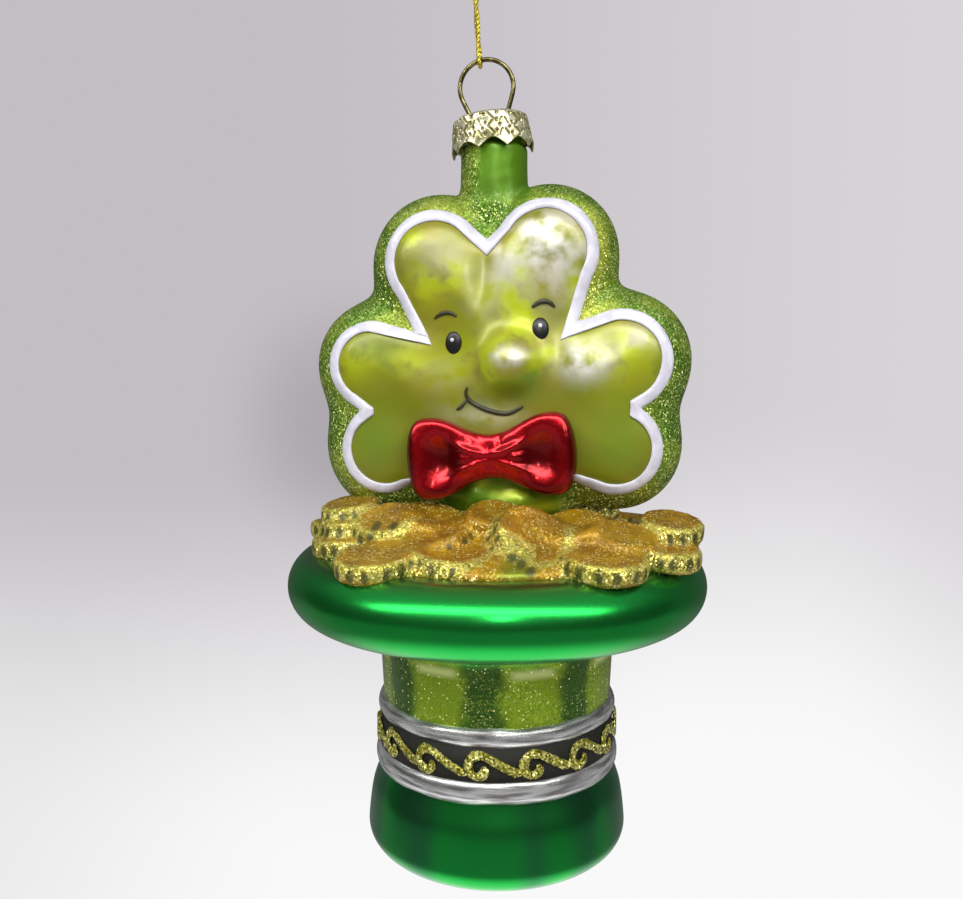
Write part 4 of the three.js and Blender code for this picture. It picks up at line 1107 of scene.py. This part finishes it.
class BandSettings(bpy.types.PropertyGroup):
    silver: colour_property("Silver", "Bright tone of the mouldings' paint", "#dedddb")
    stripe: colour_property("Stripe", "Colour of the stripe's paint", "#16160c")
    glitter: colour_property("Glitter", "Bright tone of the scroll's glitter", "#aaa23a")
    repeats: bpy.props.IntProperty(name="Repeats", description="Waves of the scroll round the hat",
                                   default=15, min=4, max=40)
    start: bpy.props.FloatProperty(name="Start", description="Where the first curl stands, from the front",
                                   default=0.0, subtype="ANGLE")


class HeapSettings(bpy.types.PropertyGroup):
    gold: colour_property("Gold", "Colour of the amber lacquer", "#a67f06")
    skin: length_property("Skin grain", "Size of the melted skin's squares", 0.45)


class ShamrockSettings(bpy.types.PropertyGroup):
    face: colour_property("Face", "Main colour of the face", "#767808")
    satin: share_property("Satin", "How soft its reflections are", 0.38)
    skin: length_property("Skin grain", "Size of the melted skin's squares", 0.3)


class FaceSettings(bpy.types.PropertyGroup):
    white: colour_property("White", "Colour of the raised line and the eyes' dots", "#cac8d2")
    black: colour_property("Black", "Colour of the eyes", "#0c0c07")
    brown: colour_property("Brown", "Colour of the brows and the smile", "#2a2a10")


class BowSettings(bpy.types.PropertyGroup):
    red: colour_property("Red", "Colour of the clear lacquer", "#c8101c")


class CapSettings(bpy.types.PropertyGroup):
    metal: colour_property("Metal", "Colour of the clean tinplate", "#dedab8")
    wire: colour_property("Wire", "Colour of the rubbed brass", "#948a5c")


class ThreadSettings(bpy.types.PropertyGroup):
    gold: colour_property("Gold", "Bright tone of the foil", "#e2d850")
    thickness: length_property("Thickness", "Thickness of the thread", 0.7)


class StageSettings(bpy.types.PropertyGroup):
    lens: bpy.props.FloatProperty(name="Lens", description="Focal length of the camera", default=35.51,
                                  min=1.0, unit="CAMERA")
    top: colour_property("Backdrop top", "Colour of the backdrop's upper part", "#c3bec4")
    bottom: colour_property("Backdrop bottom", "Colour of the backdrop's lower part", "#f9f9f9")


# Pieces.

class ORNAMENT_OT_hat(bpy.types.Operator):
    """Blow the upside-down hat"""
    bl_idname = "ornament.hat"
    bl_label = "Hat"

    def execute(self, context):
        green = material("satin green lacquer on silvered glass", satin_green, context.scene.ornament_hat)
        keep(spun("top_hat", hat_profile(), green, 220), "green_lacquered_glass", "glass", "hat_shell")
        return {"FINISHED"}


class ORNAMENT_OT_band(bpy.types.Operator):
    """Paint the band: two silver mouldings, the black stripe and its scroll"""
    bl_idname = "ornament.band"
    bl_label = "Hat band"

    def execute(self, context):
        settings = context.scene.ornament_band
        silver = material("brushed silver paint", silver_paint, settings)
        mouldings = (("lower_silver_moulding", BAND_LOW, 1.9, "lower_silver_trim"),
                     ("upper_silver_moulding", BAND_HIGH, 1.5, "upper_silver_trim"))
        for name, middle, half, replaced in mouldings:
            wall = wall_at(middle)
            profile = [(wall - 0.3, middle - half), *arc(wall - 0.1, middle, 1.05, half, -85, 85, 16),
                       (wall - 0.3, middle + half)]
            keep(uneven_ring(spun(name, profile, silver), middle), "silver_paint", "glass", replaced)
        low, high = BAND_LOW + 1.7, BAND_HIGH - 1.3
        profile = [(wall_at(low), low), (wall_at(low) + 0.4, low + 0.1),
                   (wall_at(high) + 0.4, high - 0.1), (wall_at(high), high)]
        black = material("brushed black paint", brushed_paint, settings.stripe, 0.75, 0.0)
        keep(spun("black_stripe", profile, black), "black_paint", "glass", "black_hat_band")
        glue = material("gold glitter glue", scroll_glue, settings)
        scroll = new_piece("glitter_scroll_wave", *scroll_bodies(settings.repeats, settings.start), glue)
        keep(face_out(scroll), "scroll_glitter", "glass", "glitter_scroll")
        return {"FINISHED"}


class ORNAMENT_OT_heap(bpy.types.Operator):
    """Heap up the coins"""
    bl_idname = "ornament.heap"
    bl_label = "Coins"

    def execute(self, context):
        settings = context.scene.ornament_heap
        gold = material("gold glitter on glass", gold_coins, settings)
        bodies = [spun("coins", MOUND, gold, 96)] + [coin(gold, *spot) for spot in COINS + SUNK_COINS]
        heap = melted(bodies, settings.skin / MM, 22)
        paint_tone(heap, coin_tone)
        keep(heap, "gold_glitter_glass", "glass", "coin_heap")
        return {"FINISHED"}


class ORNAMENT_OT_shamrock(bpy.types.Operator):
    """Blow the shamrock and its neck, and spray them"""
    bl_idname = "ornament.shamrock"
    bl_label = "Shamrock"

    def execute(self, context):
        settings = context.scene.ornament_shamrock
        green = material("pearl green lacquer and green glitter on glass", painted_face, settings)
        leaf = melted([face_out(new_piece("shamrock", *leaf_grid(), green)), neck(green)],
                      settings.skin / MM, 5)
        paint_tone(leaf, face_tone)
        keep(leaf, "pearl_green_glass", "glass", "shamrock_shell", "neck_tube")
        return {"FINISHED"}


class ORNAMENT_OT_face(bpy.types.Operator):
    """Paint the white line, the eyes, the brows and the smile"""
    bl_idname = "ornament.face"
    bl_label = "Face paint"

    def execute(self, context):
        settings = context.scene.ornament_face
        white = material("poured white enamel", brushed_paint, settings.white, 0.32, 0.5, 2.0, 0.04)
        black = material("satin black paint", brushed_paint, settings.black, 0.42, 0.15)
        brown = material("thin brown-black paint", brushed_paint, settings.brown, 0.45, 0.3)
        line = face_out(new_piece("white_outline", *outline_strip(), white))
        keep(line, "white_enamel", "glass", "enamel_outline")
        for side, x, z in EYES:
            eye = paint_drop(f"{side}_eyeball", x, z, surface=black, **EYE)
            keep(eye, "black_paint", "glass", f"{side}_eye")
            dot = paint_drop(f"{side}_eye_dot", x - 0.1, z + 0.4, surface=white, **EYE_DOT)
            keep(dot, "white_enamel", "glass", f"{side}_eye_highlight")
        for name, replaced, width, spots in STROKES:
            keep(face_out(paint_stroke(name, spots, width, brown)), "brown_paint", "glass", replaced)
        return {"FINISHED"}


class ORNAMENT_OT_bow(bpy.types.Operator):
    """Shape the bow tie"""
    bl_idname = "ornament.bow"
    bl_label = "Bow tie"

    def execute(self, context):
        red = material("clear red lacquer on silvered glass", red_chrome, context.scene.ornament_bow)
        points, faces, painted_shade_share = bow_grid()
        bow = new_piece("bow", points, faces, red)
        store_mask(bow, painted_shade_share)
        keep(face_out(bow), "red_chromed_glass", "glass", "bow_tie")
        return {"FINISHED"}


class ORNAMENT_OT_cap(bpy.types.Operator):
    """Stamp the cap and bend its spring wire"""
    bl_idname = "ornament.cap"
    bl_label = "Cap and wire"

    def execute(self, context):
        settings = context.scene.ornament_cap
        points, faces, depth = cap_grid()
        cap = new_piece("stamped_cap", points, faces, material("stamped tinplate", stamped_metal, settings))
        store_mask(cap, depth)
        keep(face_out(cap), "stamped_cap_metal", "cap", "ornament_cap")
        brass = material("antique brass plated wire", plated_wire, settings)
        wire = new_piece("bent_wire", *sweep(eased(wire_route(), 0.3), WIRE_RADIUS, 14), brass)
        keep(face_out(wire), "spring_wire", "hanger", "hanger_wire")
        return {"FINISHED"}


class ORNAMENT_OT_thread(bpy.types.Operator):
    """Twist the thread and tie its knot"""
    bl_idname = "ornament.thread"
    bl_label = "Thread"

    def execute(self, context):
        settings = context.scene.ornament_thread
        thick = settings.thickness / MM
        gold = material("gold foil thread", metallic_thread, settings)
        route = [along_thread(*spot) for spot in THREAD_ROUTE]
        thread = face_out(new_piece("thread", *plied(route, 0.26 * thick, 0.25 * thick), gold))
        keep(thread, "gold_thread", "thread", "hanging_thread")
        # The knot is a trefoil with two cut ends.
        loops = [along_thread(KNOT_RADIUS * (math.sin(turn) + 2 * math.sin(2 * turn)),
                              -0.4 * math.sin(3 * turn),
                              KNOT_UP + KNOT_RADIUS * (math.cos(turn) - 2 * math.cos(2 * turn)))
                 for turn in turns(60)]
        bodies = [sweep(loops, 0.33, 10, closed=True)]
        for side in (-1, 1):
            tail = [(0.2 * side, 0, KNOT_UP), (0.7 * side, 0, 25.7), (1.1 * side, 0.2, 27.2),
                    (1.6 * side, 0, 28.9)]
            bodies.append(plied([along_thread(*spot) for spot in tail], 0.17, 0.17))
        knot = face_out(new_piece("knot", *joined(bodies), gold))
        keep(knot, "gold_thread", "thread", "thread_knot")
        path = [tuple(place(*spot)) for spot in eased(route, 0.5)]
        length = sum((Vector(a) - Vector(b)).length for a, b in zip(path, path[1:]))
        tuple(place(*along_thread(0, -0.88, 0)))
        return {"FINISHED"}


class ORNAMENT_OT_stage(bpy.types.Operator):
    """Set the camera, the backdrop and the lights"""
    bl_idname = "ornament.stage"
    bl_label = "Stage"

    def execute(self, context):
        settings = context.scene.ornament_stage
        self.camera(context, settings)
        self.backdrop(settings)
        self.lights()
        self.world(context)
        return {"FINISHED"}

    @staticmethod
    def camera(context, settings):
        spot = place(CAMERA_AWAY * math.sin(CAMERA_SWING), -CAMERA_AWAY * math.cos(CAMERA_SWING), CAMERA_UP)
        bpy.ops.object.camera_add(location=spot, rotation=(math.pi / 2 - CAMERA_PITCH, 0.0,
                                                           CAMERA_SWING + CAMERA_PAN))
        camera = context.object
        camera.data.lens = settings.lens
        camera.data.sensor_width = 36.0
        camera.data.clip_start, camera.data.clip_end = 0.005, 20.0
        context.scene.camera = camera

    @staticmethod
    def white_card(add, settings):
        """Matt white card. The camera sees its tones as lit, and shiny things mirror a lit table."""
        where = add("TexCoord", out="Object")
        x, y, z = add("SeparateXYZ", (where,), None)
        # The light falls off up the wall and to the left, with the ornament's soft shade there.
        across = add("MapRange", (x, -0.16, 0.2), **EASED)
        wall = add("Mix", {0: across, 6: settings.top, 7: "#d8d5d8"}, 2, **IN_COLOUR)
        shade = add("VectorMath", (where, (-0.11, 0.3, -0.1)), "Value", operation="DISTANCE")
        shade = add("MapRange", (shade, 0.08, 0.015, 0.0, 0.85), **EASED)
        wall = add("Mix", {0: shade, 6: wall, 7: "#a9a4a9"}, 2, **IN_COLOUR)
        across = add("MapRange", (x, -0.28, -0.1), **EASED)
        table = add("Mix", {0: across, 6: "#e9eae9", 7: settings.bottom}, 2, **IN_COLOUR)
        # A painted pool of light lifts the lighter lower tone up the middle of the wall.
        painted_pool = add("Math", (add("MapRange", (x, -0.06, 0.06), **EASED),
                            add("MapRange", (x, 0.2, 0.1, 0.0, 0.04), **EASED)), operation="MULTIPLY")
        level = add("Math", (z, painted_pool), operation="SUBTRACT")
        share = add("MapRange", (level, -0.285, -0.12), **EASED)
        seen = add("Mix", {0: share, 6: table, 7: wall}, 2, **IN_COLOUR)
        far = add("VectorMath", (add("CombineXYZ", (x, y)),), "Value", operation="LENGTH")
        lit = add("Math", (add("MapRange", (far, 0.06, 0.28, 2.0, 0.3), **EASED),
                           add("MapRange", (z, -0.3, -0.18, 1.0, 0.35), **EASED)), operation="MULTIPLY")
        ray = add("LightPath", (), None)
        card = add("BsdfDiffuse", {"Color": "#e6e5e8"})
        card = add("MixShader", (ray["Is Glossy Ray"], card, add("Emission", ("#f4f4f6", lit))))
        return add("MixShader", (ray["Is Camera Ray"], card, add("Emission", (seen, 1.0))))

    def backdrop(self, settings):
        """A white sweep: a wall that curves forward into a table."""
        profile = [(-1.4, -0.32)] + [
            (0.1 + 0.2 * math.sin(math.radians(a)), -0.12 - 0.2 * math.cos(math.radians(a)))
            for a in range(0, 91, 6)] + [(0.3, 0.5)]
        points = [(x, y, z) for y, z in profile for x in (-0.9, 0.9)]
        faces = [(2 * k, 2 * k + 1, 2 * k + 3, 2 * k + 2) for k in range(len(profile) - 1)]
        mesh = bpy.data.meshes.new("sweep")
        mesh.from_pydata(points, [], faces)
        mesh.materials.append(material("white card sweep", self.white_card, settings))
        mesh.shade_smooth()
        card = bpy.data.objects.new("sweep", mesh)
        bpy.context.collection.objects.link(card)

    @staticmethod
    def lights():
        """The fills light the front and aren't mirrored: what mirrors is the window and the table."""
        aim = place(0, 0, 10)
        for name, spot, size, power, mirrored in LIGHTS:
            bpy.ops.object.light_add(type="AREA", location=spot)
            light = bpy.context.object
            light.name = name
            light.data.shape = "RECTANGLE"
            light.data.size, light.data.size_y = size
            light.data.energy = power
            light.rotation_euler = (aim - Vector(spot)).to_track_quat("-Z", "Y").to_euler()
            light.visible_glossy = mirrored

    @staticmethod
    def world(context):
        """A dim room, dark at the level of the eye and pale overhead."""
        world = bpy.data.worlds.new("room")
        context.scene.world = world
        world.use_nodes = True
        world.node_tree.nodes.clear()
        add = partial(node, world.node_tree)
        up = add("SeparateXYZ", (add("TexCoord", out="Generated"),), 2)
        share = add("MapRange", (up, 0.1, 0.85), **EASED)
        colour = add("Mix", {0: share, 6: "#2c2c2e", 7: "#c4c2c8"}, 2, **IN_COLOUR)
        add("OutputWorld", {"Surface": add("Background", (colour, 0.8))}, None)


SETTINGS = (
    ("ornament_hat", HatSettings), ("ornament_band", BandSettings), ("ornament_heap", HeapSettings),
    ("ornament_shamrock", ShamrockSettings), ("ornament_face", FaceSettings), ("ornament_bow", BowSettings),
    ("ornament_cap", CapSettings), ("ornament_thread", ThreadSettings), ("ornament_stage", StageSettings),
)
OPERATORS = (ORNAMENT_OT_stage, ORNAMENT_OT_thread, ORNAMENT_OT_hat, ORNAMENT_OT_band, ORNAMENT_OT_heap,
             ORNAMENT_OT_shamrock, ORNAMENT_OT_face, ORNAMENT_OT_bow, ORNAMENT_OT_cap)


class ORNAMENT_PT_pieces(bpy.types.Panel):
    """Lists the ornament's pieces"""
    bl_label = "Glass shamrock ornament"
    bl_idname = "ORNAMENT_PT_pieces"
    bl_space_type = "VIEW_3D"
    bl_region_type = "UI"
    bl_category = "Ornament"

    def draw(self, context):
        for operator in OPERATORS:
            self.layout.operator(operator.bl_idname)
        for name, group in SETTINGS:
            box = self.layout.box()
            for key in group.__annotations__:
                box.prop(getattr(context.scene, name), key)


def register():
    for name, group in SETTINGS:
        bpy.utils.register_class(group)
        setattr(bpy.types.Scene, name, bpy.props.PointerProperty(type=group))
    for operator in OPERATORS:
        bpy.utils.register_class(operator)
    bpy.utils.register_class(ORNAMENT_PT_pieces)


def unregister():
    bpy.utils.unregister_class(ORNAMENT_PT_pieces)
    for operator in reversed(OPERATORS):
        bpy.utils.unregister_class(operator)
    for name, group in reversed(SETTINGS):
        delattr(bpy.types.Scene, name)
        bpy.utils.unregister_class(group)


def main():
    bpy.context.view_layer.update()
    register()
    bpy.context.scene.view_settings.view_transform = "Standard"
    bpy.ops.ornament.stage()
    bpy.ops.ornament.thread()
    bpy.ops.ornament.hat()
    bpy.ops.ornament.band()
    bpy.ops.ornament.heap()
    bpy.ops.ornament.shamrock()
    bpy.ops.ornament.face()
    bpy.ops.ornament.bow()
    bpy.ops.ornament.cap()


if __name__ == "__main__":
    main()
